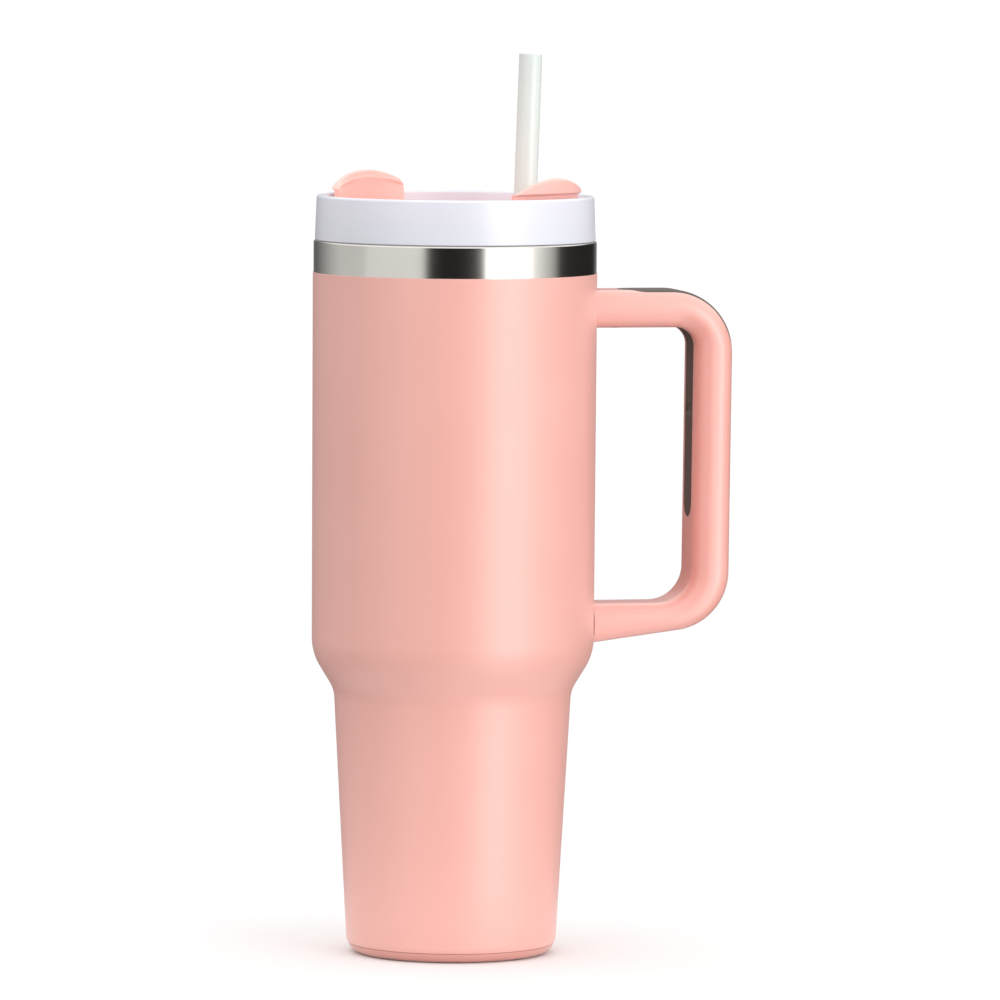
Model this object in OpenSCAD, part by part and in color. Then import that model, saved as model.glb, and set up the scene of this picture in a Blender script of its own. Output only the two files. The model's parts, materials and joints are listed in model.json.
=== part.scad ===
// Insulated tumbler with a handle, a turning lid cover and a straw, in millimetres.
// The origin is the centre of the face that it stands on, +Z is up and the handle is along +X.

/* [Vessel] */
// Outer diameter of the upper body, just under the bare band
body_d = 98.04; // [90:0.01:110]
// Height of the steel rim above the table
rim_z = 246.3; // [225:0.1:290]
// Height of the bare steel band under the rim
band_h = 11; // [6:0.5:20]
// Draft of the upper body
body_draft = 0.126; // [0:0.01:0.5]
// Height at which the shoulder begins to turn in
shoulder_z = 109; // [95:0.5:125]
// How far the body steps in from the shoulder to the waist
shoulder_in = 7.89; // [6:0.01:12]
// Slope of the shoulder, from vertical
shoulder_slope = 31.4; // [22:0.1:45]
// Radius of the turn at the top of the shoulder
shoulder_r = 19; // [10:0.5:26]
// Radius of the turn at the waist
waist_r = 12; // [6:0.5:18]
// Slope of the tapered lower body, from vertical
taper = 3.14; // [1.5:0.01:4]
// Radius of the turn above the base seam
base_turn_r = 5.6; // [3:0.1:8]
// Height of the seam between the shell and the base cap
seam_z = 3.4; // [2.5:0.1:6]

/* [Walls] */
// Thickness of the coloured coat, with the fine gap behind it
coat_t = 0.25; // [0.15:0.05:0.4]
// Thickness of the outer shell
shell_t = 0.5; // [0.4:0.1:1]
// Space between the two walls
vacuum_gap = 3.4; // [2.5:0.1:4.5]
// Thickness of the inner liner
liner_t = 0.5; // [0.4:0.1:1]
// Height of the drinking space's floor
liner_floor_z = 13; // [11:0.5:20]
// Corner radius at the floor of the liner
liner_corner_r = 9; // [5:0.5:12]
// Height of the weld between the liner and its floor
liner_weld_z = 26; // [24:0.5:40]
// Thickness of the base plates
plate_t = 0.8; // [0.5:0.1:1.2]
// Width of the flat ring that it stands on
foot_w = 4.5; // [3:0.5:8]
// Depth of the hollow inside that ring
foot_hollow = 1.2; // [0.6:0.1:1.6]

/* [Handle] */
// Width of the handle, around the body
handle_w = 25; // [20:0.5:32]
// Reach of the handle beyond the body
handle_out = 47.68; // [42:0.01:60]
// Thickness of the upright bar
bar_t = 13.25; // [12.5:0.1:18]
// How far the upright bar leans in from top to bottom
bar_lean = 0.6; // [0:0.1:3]
// Distance of the upper arm's top face below the bare band
arm_drop = 6; // [3:0.1:20]
// Thickness of the upper arm
arm_t = 13; // [12.5:0.1:17]
// Height of the lower arm's top face
low_arm_z = 120.8; // [116:0.1:140]
// Thickness of the lower arm at the body
low_arm_t = 13.4; // [12.5:0.1:18]
// Rise of the lower arm's underside
low_arm_rise = 7.5; // [0:0.5:9]
// Outer radius of the handle's top corner
corner_top_out = 22; // [14:0.5:26]
// Inner radius of the handle's top corner
corner_top_in = 6.5; // [4:0.5:10]
// Outer radius of the handle's bottom corner
corner_low_out = 20.5; // [14:0.5:26]
// Inner radius of the handle's bottom corner
corner_low_in = 12; // [6:0.5:14]
// Rounding along the handle's edges, as a share of the upper arm's thickness
edge_share = 0.441; // [0.2:0.001:0.46]
// Thickness of the soft grips
grip_t = 1.6; // [1:0.1:2.2]
// Width of the outer grip
grip_out_w = 18.6; // [12:0.2:20]
// Width of the inner grip
grip_in_w = 10.4; // [8:0.2:14]
// Distance from the body to the start of the outer grip
grip_out_start = 8.38; // [6:0.01:19]
// How far the outer grip reaches down from the handle's top
grip_out_drop = 23.6; // [18:0.1:34]
// Height of the inner grip's lower end above the lower arm
grip_in_lift = 28.5; // [18:0.1:60]
// Distance of the inner grip's cross groove below the handle's top
groove_drop = 41.6; // [30:0.1:50]
// Height of that groove
groove_h = 3; // [2:0.5:5]

/* [Handle fixing] */
// Distance of the screws from the body
screw_out = 6.98; // [6:0.01:9]
// Radius of a screw's thread
screw_r = 1.75; // [1.25:0.05:2]
// Radius of a screw's head
screw_head_r = 3; // [2.4:0.1:3.2]
// Height of a screw's head
screw_head_h = 2.2; // [1.5:0.1:2.5]
// Space between a screw's head and its bracket
head_gap = 0.5; // [0.2:0.1:1]
// Length of a screw's thread past its bracket
screw_past = 1.2; // [0.5:0.1:2]
// Radius of the rubber plugs over the screws
plug_r = 3.25; // [3.2:0.05:4]
// Height of a plug inside its hole
plug_h = 1.4; // [1:0.1:2]
// Height of a plug that stands out of the arm
plug_proud = 0.25; // [0.1:0.05:0.6]
// Thickness of a bracket's tongue
tongue_t = 2.4; // [1.5:0.1:3]
// Width of a bracket's tongue
tongue_w = 10; // [8:0.5:12]
// Length of a bracket's tongue past the screw
tongue_past = 6; // [4:0.5:8]
// Height of a bracket's welded pad
pad_h = 9; // [7:0.5:10]
// Width of a bracket's welded pad
pad_w = 15; // [12:0.5:16]
// Thickness of a bracket's welded pad
pad_t = 1.2; // [0.8:0.1:1.6]

/* [Lid] */
// Height of the lid's visible band
lid_h = 15.3; // [12:0.1:20]
// How far the lid's foot is set in from the body
lid_inset = 0.65; // [0.2:0.01:2]
// Draft of the lid's outer face
lid_draft = 2; // [0:0.1:3]
// Thickness of the lid's upstanding wall
lid_wall = 2.8; // [2:0.1:3.4]
// Depth from the wall's top to the lid's floor
lid_well = 8.8; // [7:0.1:11]
// Thickness of the lid's floor
lid_floor_t = 2.2; // [1.6:0.1:3]
// Gap between the lid and the steel rim that it sits on
lid_gap = 0.2; // [0.1:0.05:0.4]
// Depth of the plug below the steel rim
plug_depth = 12; // [9:0.5:16]
// Gap between the plug and the liner
plug_gap = 0.8; // [0.5:0.1:1.2]
// Wall thickness of the plug
plug_wall = 2.2; // [2:0.1:3]
// Height of the seal ring around the plug
gasket_h = 4; // [3:0.1:5]
// Depth of the seal ring's groove in the plug
gasket_seat = 1; // [0.6:0.1:1.4]

/* [Turning cover] */
// Thickness of the cover's disc
cover_t = 2.4; // [2:0.1:3]
// Gap between the cover's edge and the lid's wall
cover_gap = 0.6; // [0.3:0.1:1]
// Distance of the openings' middle line from the lid's wall
opening_in = 15.04; // [14:0.01:17]
// Gap on each side of the straw in the cover's curved slot
slot_gap = 1.6; // [1:0.1:2]
// How far the cover turns
cover_turn = 62; // [50:1:66]
// Half width of the drinking hole
drink_half = 4.5; // [3.5:0.1:5]
// Direction of the drinking hole's first end
drink_a0 = -36; // [-36:1:-30]
// Angle between the drinking hole's two ends
drink_span = 10; // [6:1:14]
// How far the cover's pad reaches past the drinking hole
pad_margin = 2; // [1:0.1:3]
// Direction of the front wing's middle
wing_a = -49.5; // [-60:0.5:-40]
// Half width of a wing
wing_half = 19.3; // [15:0.1:22]
// Gap between a wing's lip and the lid's wall
wing_inset = 0.94; // [0.5:0.01:3]
// Height of a wing's peak above the lid's wall
wing_peak = 7.4; // [5:0.1:10]
// Where the peak lies along the wing
wing_peak_at = -4; // [-8:0.5:8]
// Radius of a wing's top on its blunt side
wing_blunt_r = 31; // [26:1:60]
// Radius of a wing's top on its long side
wing_long_r = 49; // [40:1:80]
// Height of the lip's underside above the lid's wall
lip_lift = 1.5; // [0.8:0.1:3]
// Radius of the pivot's shaft
pivot_r = 3; // [2:0.1:4]
// Radius of the pivot's head
pivot_head_r = 6.5; // [5:0.1:9]

/* [Straw] */
// Outer diameter of the straw
straw_d = 8; // [7:0.1:9]
// Thickness of the straw's wall
straw_t = 0.8; // [0.6:0.1:1.2]
// Length of the straw above the lid's floor
straw_up = 57.35; // [40:0.05:90]
// Lean of the straw away from the middle, from vertical
straw_lean = 2.25; // [1:0.05:3]
// Direction of the straw around the middle
straw_a = 25; // [20:1:40]
// Gap between the straw's end and the liner's floor
straw_gap = 1; // [0.5:0.1:3]
// Thickness of the seal between the straw and the lid
grommet_t = 2.8; // [2:0.1:3.5]
// How far the seal's flanges reach past the hole
grommet_lip = 1.2; // [0.8:0.1:1.5]

/* [Hidden] */

$fn = 96;
fit = 0.05;          // gap each side between fixed pieces that slip into each other
running = 0.08;      // radial gap of a piece that turns or slides in another
free_gap = 0.3;      // gap between moving faces that pass each other
far = 400;           // longer than the whole object
steps = 10;          // chords in a profile's arc
bend_steps = 14;     // chords along a corner of the handle
edge_steps = 5;      // chords in each rounded edge of the handle
slot_steps = 18;     // chords along each side and round each end of a curved slot
lip_steps = 4;       // chords in each small arc of a wing's section

rim_r = body_d / 2;
band_z = rim_z - band_h;
liner_in = -coat_t - shell_t - vacuum_gap - liner_t;   // offset of the liner's inner face
rim_round = (shell_t + vacuum_gap + liner_t) / 2;       // the walls roll over to meet in the middle

// The side of the body, from the top down. Every wall is this line moved out or in by d.
function out(a) = [cos(a), -sin(a)];
function down(a) = [-sin(a), -cos(a)];
function turn(c, r, a0, a1) = [for (i = [0:steps]) c + r * out(a0 + (a1 - a0) * i / steps)];

shoulder_top = [rim_r - (band_z - shoulder_z) * tan(body_draft), shoulder_z];
shoulder_c = shoulder_top - shoulder_r * out(body_draft);
turned_in = shoulder_r * (cos(body_draft) - cos(shoulder_slope))
    + waist_r * (cos(taper) - cos(shoulder_slope));
slope_len = (shoulder_in - turned_in) / sin(shoulder_slope);
slope_end = shoulder_c + shoulder_r * out(shoulder_slope) + slope_len * down(shoulder_slope);
waist_c = slope_end + waist_r * out(shoulder_slope);
waist_end = waist_c - waist_r * out(taper);
base_turn = 26;                                         // angle of the body at the base seam
base_turn_z = seam_z + base_turn_r * (sin(base_turn) - sin(taper));
base_turn_c = waist_end + (waist_end.y - base_turn_z) / cos(taper) * down(taper)
    - base_turn_r * out(taper);

function side_r(d, z) = rim_r + d - (band_z - z) * tan(body_draft);
function side_top(d, z) = [[side_r(d, z), z]];
function side_mid(d) = concat(
    turn(shoulder_c, shoulder_r + d, body_draft, shoulder_slope),
    turn(waist_c, -(waist_r - d), shoulder_slope, taper));
function side_low(d) = turn(base_turn_c, base_turn_r + d, taper, base_turn);
function side(d, z) = concat(side_top(d, z), side_mid(d), side_low(d));
// A straight line of the tapered lower body, at height z.
function taper_at(d, z) = [waist_end.x + d / cos(taper) - (waist_end.y - z) * tan(taper), z];
function reversed(v) = [for (i = [len(v) - 1:-1:0]) v[i]];

module lathe(points) { rotate_extrude() polygon(points); }
module tube(r, hole, h) {
    difference() {
        cylinder(r = r, h = h);
        translate([0, 0, -1]) cylinder(r = hole, h = h + 2);
    }
}
// A slot that runs along an arc about Z between the directions a0 and a1, with round ends.
function polar(r, a) = [r * cos(a), r * sin(a)];
function sweep(c, r, a0, a1, n) = [for (i = [0:n]) c + polar(r, a0 + (a1 - a0) * i / n)];
module arc_slot(r, half, a0, a1, h) {
    linear_extrude(height = h) polygon(concat(
        sweep([0, 0], r + half, a0, a1, slot_steps),
        sweep(polar(r, a1), half, a1 + 9, a1 + 171, slot_steps),
        sweep([0, 0], r - half, a1, a0, slot_steps),
        sweep(polar(r, a0), half, a0 + 189, a0 + 351, slot_steps)));
}

// Vessel ---------------------------------------------------------------------------------

// The solid that the coloured body fills, grown by d and cut off at its rim.
module body_blank(d) {
    lathe(concat([[0, band_z]], side(d, band_z), [[0, side_low(d)[steps].y]]));
}
module outer_shell() {
    outer = -coat_t;
    rim_c = [side_r(outer, rim_z) - rim_round, rim_z - rim_round];
    rim = [for (i = [0:steps]) rim_c + rim_round * [sin(90 * i / steps), cos(90 * i / steps)]];
    inner_rim = rim_round - shell_t;
    roof = [for (i = [steps:-1:0]) rim_c + inner_rim * [sin(90 * i / steps), cos(90 * i / steps)]];
    color("gainsboro") lathe(concat(
        rim, side_mid(outer), side_low(outer),
        reversed(concat(side_mid(outer - shell_t), side_low(outer - shell_t))), roof));
}
module powder_coat() {
    color("lightpink") difference() {
        lathe(concat(side(0, band_z), reversed(side(fit - coat_t, band_z))));
        for (z = bracket_z) bracket_pad(z, fit);
    }
}
// The liner's own rolled lip reaches out to the shell's rim, where the two are welded.
module inner_liner() {
    inner = liner_in;
    lip_c = [side_r(inner, rim_z) + rim_round, rim_z - rim_round];
    lip = [for (i = [0:steps]) lip_c + rim_round * [-cos(90 * i / steps), sin(90 * i / steps)]];
    under = [for (i = [steps:-1:0])
        lip_c + (rim_round - liner_t) * [-cos(90 * i / steps), sin(90 * i / steps)]];
    color("silver") lathe(concat(
        [taper_at(inner, liner_weld_z)], reversed(side_mid(inner)), lip, under,
        side_mid(inner + liner_t), [taper_at(inner + liner_t, liner_weld_z)]));
}
module liner_floor() {
    inner = liner_in;
    top = taper_at(inner, liner_weld_z);
    c = taper_at(inner, liner_floor_z + liner_corner_r) - [liner_corner_r, 0];
    function bowl(r) = [for (i = [0:steps]) c + r * [cos(90 * i / steps), -sin(90 * i / steps)]];
    color("silver") lathe(concat(
        [top], bowl(liner_corner_r), [[0, liner_floor_z], [0, liner_floor_z - liner_t]],
        reversed(bowl(liner_corner_r + liner_t)), [taper_at(inner + liner_t, liner_weld_z)]));
}
// The dish that closes the space between the walls, with the port that it was pumped out by.
base_in = side_low(-coat_t - shell_t);
dish_z = seam_z + 1.6;
dish_h = 3;
dish_hollow_r = base_in[steps].x + 0.2 - plate_t;
port_r = 5;
module vacuum_base() {
    pump_r = 1;
    color("darkgray") difference() {
        intersection() {
            translate([0, 0, dish_z]) cylinder(r = rim_r, h = dish_h);
            lathe(concat([[0, dish_z + 3 * dish_h], taper_at(-coat_t - shell_t, dish_z + 3 * dish_h)],
                         base_in, [[0, base_in[steps].y]]));
        }
        translate([0, 0, dish_z + plate_t]) cylinder(r = dish_hollow_r, h = far);
        translate([0, 0, dish_z - 1]) cylinder(r = port_r, h = 1 + plate_t / 2);
        translate([0, 0, dish_z - 1]) cylinder(r = pump_r, h = far);
    }
}
// A bead of solder glass that hangs in the port.
module vacuum_seal() {
    bead_r = 4.6;
    bead_h = 1.6;
    color("dimgray") translate([0, 0, dish_z + plate_t / 2]) intersection() {
        translate([0, 0, bead_r - bead_h]) sphere(r = bead_r);
        translate([0, 0, -bead_h]) cylinder(r = port_r - 0.5, h = bead_h);
    }
}
// A small dished pellet holder, welded to the underside of the liner's floor.
module getter() {
    cup_r = 6;
    cup_h = 1.8;
    hub_r = 4;
    wall = 0.3;
    color("slategray") translate([0, 0, liner_floor_z - liner_t - cup_h]) difference() {
        cylinder(r = cup_r, h = cup_h);
        translate([0, 0, -1]) tube(cup_r - wall, hub_r, cup_h + 1 - wall);
    }
}
// The pressed cap under the base. Its foot is the ring that the tumbler stands on.
cap_turn = 4.2;
cap_r = side_low(0)[steps].x - 0.1;
module base_cap() {
    crease = 0.2;
    spigot_z = seam_z + 1.2;
    top = seam_z - crease;
    foot_r = cap_r - cap_turn;
    wall = plate_t;
    spigot = base_in[steps].x - fit;
    drop = cap_turn - top;
    reach = foot_r + sqrt(cap_turn * cap_turn - drop * drop);
    a_top = asin(drop / cap_turn);
    curve = [for (i = [0:steps])
        [foot_r, cap_turn] + cap_turn * out(a_top + (90 - a_top) * i / steps)];
    slope = 1.5;
    color("lightpink") lathe(concat(
        [[spigot, spigot_z], [spigot, top]], curve,
        [[foot_r - foot_w, 0], [foot_r - foot_w - slope, foot_hollow], [0, foot_hollow],
         [0, foot_hollow + wall], [foot_r - foot_w, foot_hollow + wall],
         [foot_r, wall + foot_hollow / 2], [spigot - wall - 1, top], [spigot - wall, spigot_z]]));
}

// Handle ---------------------------------------------------------------------------------

handle_reach = rim_r + handle_out;
bar_in = handle_reach - bar_t;
edge_r = edge_share * arm_t;
arm_top_z = band_z - arm_drop;
arm_low_z = arm_top_z - arm_t;
low_under_z = low_arm_z - low_arm_t;
arm_start = rim_r - 6;                                   // arms run this far in before the cut
seam = 0.12;                                             // the fine joint against the body

// One corner of a rail: n points on an arc about c, from the direction a0 to a1.
function bend(c, r, a0, a1) =
    [for (i = [0:bend_steps]) c + r * [cos(a0 + (a1 - a0) * i / bend_steps),
                                       sin(a0 + (a1 - a0) * i / bend_steps)]];
low_out_x = handle_reach - bar_lean - corner_low_out;
low_out_z = low_under_z + (low_out_x - rim_r) * tan(low_arm_rise)
    + corner_low_out / cos(low_arm_rise);
// The two edges of the handle seen from its side, moved by g towards the handle's middle.
function outer_rail(g) = concat(
    [[arm_start, arm_top_z - g]],
    bend([handle_reach - corner_top_out, arm_top_z - corner_top_out], corner_top_out - g, 90, 0),
    bend([low_out_x, low_out_z], corner_low_out - g, 0, -90 + low_arm_rise),
    [[arm_start, low_under_z - (rim_r - arm_start) * tan(low_arm_rise) + g]]);
function inner_rail(g) = concat(
    [[arm_start, arm_low_z + g]],
    bend([bar_in - corner_top_in, arm_low_z - corner_top_in], corner_top_in + g, 90, 0),
    bend([bar_in - bar_lean - corner_low_in, low_arm_z + corner_low_in], corner_low_in + g, 0, -90),
    [[arm_start, low_arm_z - g]]);

// The rounded section between an inner and an outer point, as a ring of points in space.
function ring(p, q) =
    let (t = norm(q - p), u = (q - p) / t, m = (p + q) / 2,
         a = t / 2 - edge_r, b = handle_w / 2 - edge_r)
    [for (k = [0:3], i = [0:edge_steps])
        let (w = 90 * k + 90 * i / edge_steps,
             s = (k == 0 || k == 3 ? a : -a) + edge_r * cos(w),
             y = (k < 2 ? b : -b) + edge_r * sin(w))
        [m.x + u.x * s, y, m.y + u.y * s]];

module loft(rings) {
    n = len(rings[0]);
    last = len(rings) - 1;
    polyhedron(
        points = [for (r = rings) each r],
        faces = concat(
            [[for (i = [0:n - 1]) i]],
            [for (k = [0:last - 1], i = [0:n - 1])
                [k * n + i, (k + 1) * n + i, (k + 1) * n + (i + 1) % n, k * n + (i + 1) % n]],
            [[for (i = [n - 1:-1:0]) last * n + i]]),
        convexity = 6);
}
module handle_blank() {
    a = inner_rail(0);
    b = outer_rail(0);
    loft([for (i = [0:len(a) - 1]) ring(a[i], b[i])]);
}
// A band of depth g under one of the handle's edges, as wide as the handle.
module edge_band(rail, moved) {
    rotate([90, 0, 0]) linear_extrude(height = handle_w + 4, center = true)
        polygon(concat(rail, reversed(moved)));
}
module round_end_strip(w) {
    linear_extrude(height = 2 * far, center = true) {
        translate([w / 2, 0]) circle(r = w / 2);
        translate([w / 2, -w / 2]) square([far, w]);
    }
}
// The outer grip's outline, with both ends round: one along the arm, one down the bar.
module grip_out_zone(extra) {
    intersection() {
        edge_band(outer_rail(-2), outer_rail(grip_t + extra));
        translate([rim_r + grip_out_start - extra, 0, 0]) round_end_strip(grip_out_w + 2 * extra);
        translate([0, 0, arm_top_z - grip_out_drop - extra]) rotate([0, -90, 0])
            round_end_strip(grip_out_w + 2 * extra);
    }
}
grip_in_x = bar_in - corner_top_in - grip_in_w;
module grip_in_zone(extra) {
    intersection() {
        edge_band(inner_rail(-2), inner_rail(grip_t + extra));
        translate([grip_in_x - extra, 0, 0]) round_end_strip(grip_in_w + 2 * extra);
        translate([0, 0, low_arm_z + grip_in_lift - extra]) rotate([0, -90, 0])
            round_end_strip(grip_in_w + 2 * extra);
    }
}
module grip_outer() {
    color("dimgray") intersection() {
        handle_blank();
        grip_out_zone(0);
    }
}
module grip_inner() {
    color("dimgray") difference() {
        intersection() {
            handle_blank();
            grip_in_zone(0);
        }
        translate([bar_in - 1, -handle_w, arm_top_z - groove_drop - groove_h / 2])
            cube([1 + grip_t / 2, 2 * handle_w, groove_h]);
    }
}

// Heights of an arm's underside at its screw, of the screw's head and of its bracket's middle.
screw_x = rim_r + screw_out;
under_z = [arm_low_z, low_under_z + (screw_x - rim_r) * tan(low_arm_rise)];
screw_seat = plug_h + plug_r * tan(low_arm_rise) + 0.1;  // from an arm's underside to its screw
head_z = [for (z = under_z) z + screw_seat];             // underside of each screw's head
bracket_z = [for (z = head_z) z + screw_head_h + head_gap + tongue_t / 2];
screw_reach = screw_head_h + head_gap + tongue_t + screw_past;

module bracket_pad(z, extra) {
    r = side_r(-coat_t, z + pad_h / 2);
    intersection() {
        translate([0, 0, z - pad_h / 2 - extra]) tube(r + pad_t + extra, r, pad_h + 2 * extra);
        translate([0, -pad_w / 2 - extra, z - pad_h]) cube([far, pad_w + 2 * extra, 2 * pad_h]);
    }
}
module bracket_tongue(z, extra) {
    start = rim_r - 0.1;
    translate([start, -tongue_w / 2 - extra, z - tongue_t / 2 - extra])
        cube([screw_x + tongue_past - start + extra, tongue_w + 2 * extra, tongue_t + 2 * extra]);
}
module bracket(z) {
    color("lightgray") difference() {
        union() {
            bracket_pad(z, 0);
            bracket_tongue(z, 0);
        }
        translate([screw_x, 0, z - tongue_t]) cylinder(r = screw_r + fit, h = 2 * tongue_t);
    }
}
module bracket_upper() { bracket(bracket_z[0]); }
module bracket_lower() { bracket(bracket_z[1]); }
module handle_screws() {
    drive_r = 1.2;
    drive_h = 1.2;
    color("silver") for (z = head_z) translate([screw_x, 0, z]) difference() {
        union() {
            cylinder(r = screw_head_r, h = screw_head_h);
            cylinder(r = screw_r, h = screw_reach);
        }
        translate([0, 0, -1]) cylinder(r = drive_r, h = 1 + drive_h, $fn = 6);
    }
}
// Moves its children to the middle of the plug's hole in an arm's underside, square to it.
module on_underside(i) {
    translate([screw_x, 0, under_z[i]]) rotate([0, i * -low_arm_rise, 0]) children();
}
module screw_plugs() {
    color("dimgray") for (i = [0, 1]) on_underside(i) translate([0, 0, -plug_proud])
        cylinder(r = plug_r - fit, h = plug_h + plug_proud - 2 * fit);
}
module handle() {
    color("lightpink") difference() {
        handle_blank();
        body_blank(seam);
        grip_out_zone(fit);
        grip_in_zone(fit);
        for (z = bracket_z) {
            bracket_pad(z, 4 * fit);
            bracket_tongue(z, 2 * fit);
        }
        for (i = [0, 1]) {
            on_underside(i) translate([0, 0, -plug_h]) cylinder(r = plug_r, h = 2 * plug_h);
            translate([screw_x, 0, under_z[i]]) {
                cylinder(r = screw_head_r + fit, h = screw_seat + screw_head_h + fit);
                cylinder(r = screw_r + fit, h = screw_seat + screw_reach + fit);
            }
        }
    }
}

// Lid ------------------------------------------------------------------------------------

lid_z = rim_z + lid_gap;
lid_top = lid_z + lid_h;
lid_r = rim_r - lid_inset;
lid_top_r = lid_r - lid_h * tan(lid_draft);
well_r = lid_top_r - lid_wall;
floor_z = lid_top - lid_well;                            // top of the lid's floor
mouth_r = side_r(liner_in, rim_z - plug_depth);
plug_out = mouth_r - plug_gap;
plug_in = plug_out - plug_wall;
plug_z = rim_z - plug_depth;
gasket_z = plug_z + 3;
cover_z = floor_z + free_gap;
cover_r = well_r - cover_gap;
wing_r = well_r - wing_inset;
opening_r = well_r - opening_in;
seal_r = pivot_r + 1.9;                                  // middle of the pivot's seal ring
seal_t = 0.6;                                            // radius of that ring's section
straw_r = straw_d / 2;
grommet_r = straw_r + grommet_t;
flange_t = 0.8;                                          // upper flange of the straw's seal

// Moves its children to the straw's own axis, at the height of the lid's floor.
module on_straw() {
    rotate([0, 0, straw_a]) translate([opening_r, 0, floor_z]) rotate([0, straw_lean, 0]) children();
}
module lid() {
    edge = 0.9;
    foot = 0.5;
    chamfer = 0.6;
    vent_r = 1;
    rim_out = [for (i = [0:steps]) [lid_top_r - edge, lid_top - edge]
        + edge * [sin(90 - 90 * i / steps), cos(90 - 90 * i / steps)]];
    rim_in = [for (i = [0:steps]) [well_r + edge, lid_top - edge]
        + edge * [-sin(90 * i / steps), cos(90 * i / steps)]];
    color("lavender", 0.8) difference() {
        lathe(concat(
            [[0, floor_z - lid_floor_t], [plug_in, floor_z - lid_floor_t], [plug_in, plug_z],
             [plug_out - chamfer, plug_z], [plug_out, plug_z + chamfer],
             [plug_out, gasket_z], [plug_out - gasket_seat, gasket_z],
             [plug_out - gasket_seat, gasket_z + gasket_h], [plug_out, gasket_z + gasket_h],
             [plug_out, lid_z], [lid_r - foot, lid_z], [lid_r, lid_z + foot]],
            rim_out, rim_in, [[well_r, floor_z], [0, floor_z]]));
        translate([0, 0, floor_z - far / 2]) cylinder(r = pivot_r + running, h = far);
        translate([0, 0, floor_z - 2 * seal_t])
            tube(seal_r + seal_t + fit, seal_r - seal_t - fit, lid_well);
        translate([0, 0, floor_z - far / 2])
            arc_slot(opening_r, drink_half, drink_a0, drink_a0 + drink_span, far);
        rotate([0, 0, straw_a]) translate([opening_r, 0, 0]) {
            translate([0, 0, floor_z - far / 2]) cylinder(r = grommet_r, h = far);
            translate([0, 0, floor_z - flange_t - 2 * fit])
                cylinder(r = grommet_r + grommet_lip, h = far);
        }
        rotate([0, 0, 180 + drink_a0]) translate([opening_r, 0, floor_z - far / 2])
            cylinder(r = vent_r, h = far);
    }
}
// A silicone ring with two fins, which wipe the liner's wall.
module lid_gasket() {
    root = plug_out - gasket_seat;
    back = plug_out - 0.1;
    tip = side_r(liner_in, gasket_z) - 0.1;
    fin_h = gasket_h / 3;
    tip_h = fin_h / 3;
    color("whitesmoke") lathe(concat(
        [[root, gasket_z]],
        [for (z = [gasket_z, gasket_z + 2 * fin_h])
            each [[back, z], [tip, z + tip_h], [tip, z + 2 * tip_h], [back, z + fin_h]]],
        [[root, gasket_z + gasket_h]]));
}
module straw_grommet() {
    under = 1;
    color("white") difference() {
        rotate([0, 0, straw_a]) translate([opening_r, 0, 0]) {
            translate([0, 0, floor_z - lid_floor_t - under])
                cylinder(r = grommet_r - fit, h = lid_floor_t + under - fit);
            translate([0, 0, floor_z - fit - flange_t])
                cylinder(r = grommet_r + grommet_lip - fit, h = flange_t);
            translate([0, 0, floor_z - lid_floor_t - under])
                cylinder(r = grommet_r + grommet_lip - fit, h = under);
        }
        on_straw() cylinder(r = straw_r + running, h = 40, center = true);
    }
}
module pivot_seal() {
    color("whitesmoke") translate([0, 0, floor_z - seal_t]) rotate_extrude()
        translate([seal_r, 0]) circle(r = seal_t, $fn = 32);
}

// Turning cover --------------------------------------------------------------------------

// A wing's outline seen from outside: x runs along the wing and y is its height.
module wing_face() {
    peak = lid_top + wing_peak;
    intersection() {
        translate([-wing_half, cover_z]) square([2 * wing_half, peak - cover_z]);
        union() {
            intersection() {
                translate([wing_peak_at, peak - wing_long_r]) circle(r = wing_long_r, $fn = 180);
                translate([wing_peak_at, cover_z]) square(far);
            }
            intersection() {
                translate([wing_peak_at, peak - wing_blunt_r]) circle(r = wing_blunt_r, $fn = 180);
                translate([wing_peak_at - far, cover_z]) square(far);
            }
        }
    }
}
// The scooped wall of both wings, all the way round: a neck inside the lid's wall and a lip above.
module wing_wall() {
    overhang = 2.4;                                      // from the neck out to the lip
    neck_t = 2.2;
    lip_t = 2.1;
    soft = 1.1;                                          // rounding under the lip and of its edge
    scoop = 3.4;                                         // rounding where the neck meets the disc
    neck_out = wing_r - overhang;
    neck_in = neck_out - neck_t;
    lip_z = lid_top + lip_lift;
    disc_z = cover_z + cover_t;
    above = lid_top + wing_peak + 1;
    angles = [for (i = [0:lip_steps]) 90 * i / lip_steps];
    lathe(concat(
        [[neck_in - scoop, disc_z - cover_t / 2], [neck_out, disc_z - cover_t / 2]],
        [for (a = angles) [neck_out + soft, lip_z - soft] + soft * [-cos(a), sin(a)]],
        [for (a = angles) [wing_r - soft, lip_z + soft] + soft * [sin(a), -cos(a)]],
        [[wing_r, above], [wing_r - lip_t, above], [neck_in, lip_z]],
        [for (a = angles) [neck_in - scoop, disc_z + scoop] + scoop * [cos(a), -sin(a)]]));
}
module wings() {
    intersection() {
        wing_wall();
        for (a = [wing_a, wing_a + 180]) rotate([0, 0, a]) rotate([90, 0, 90])
            linear_extrude(height = far) wing_face();
    }
}
slot_half = straw_r + slot_gap;
slot_a0 = straw_a - 1;
slot_a1 = straw_a + cover_turn + 1;
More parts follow.
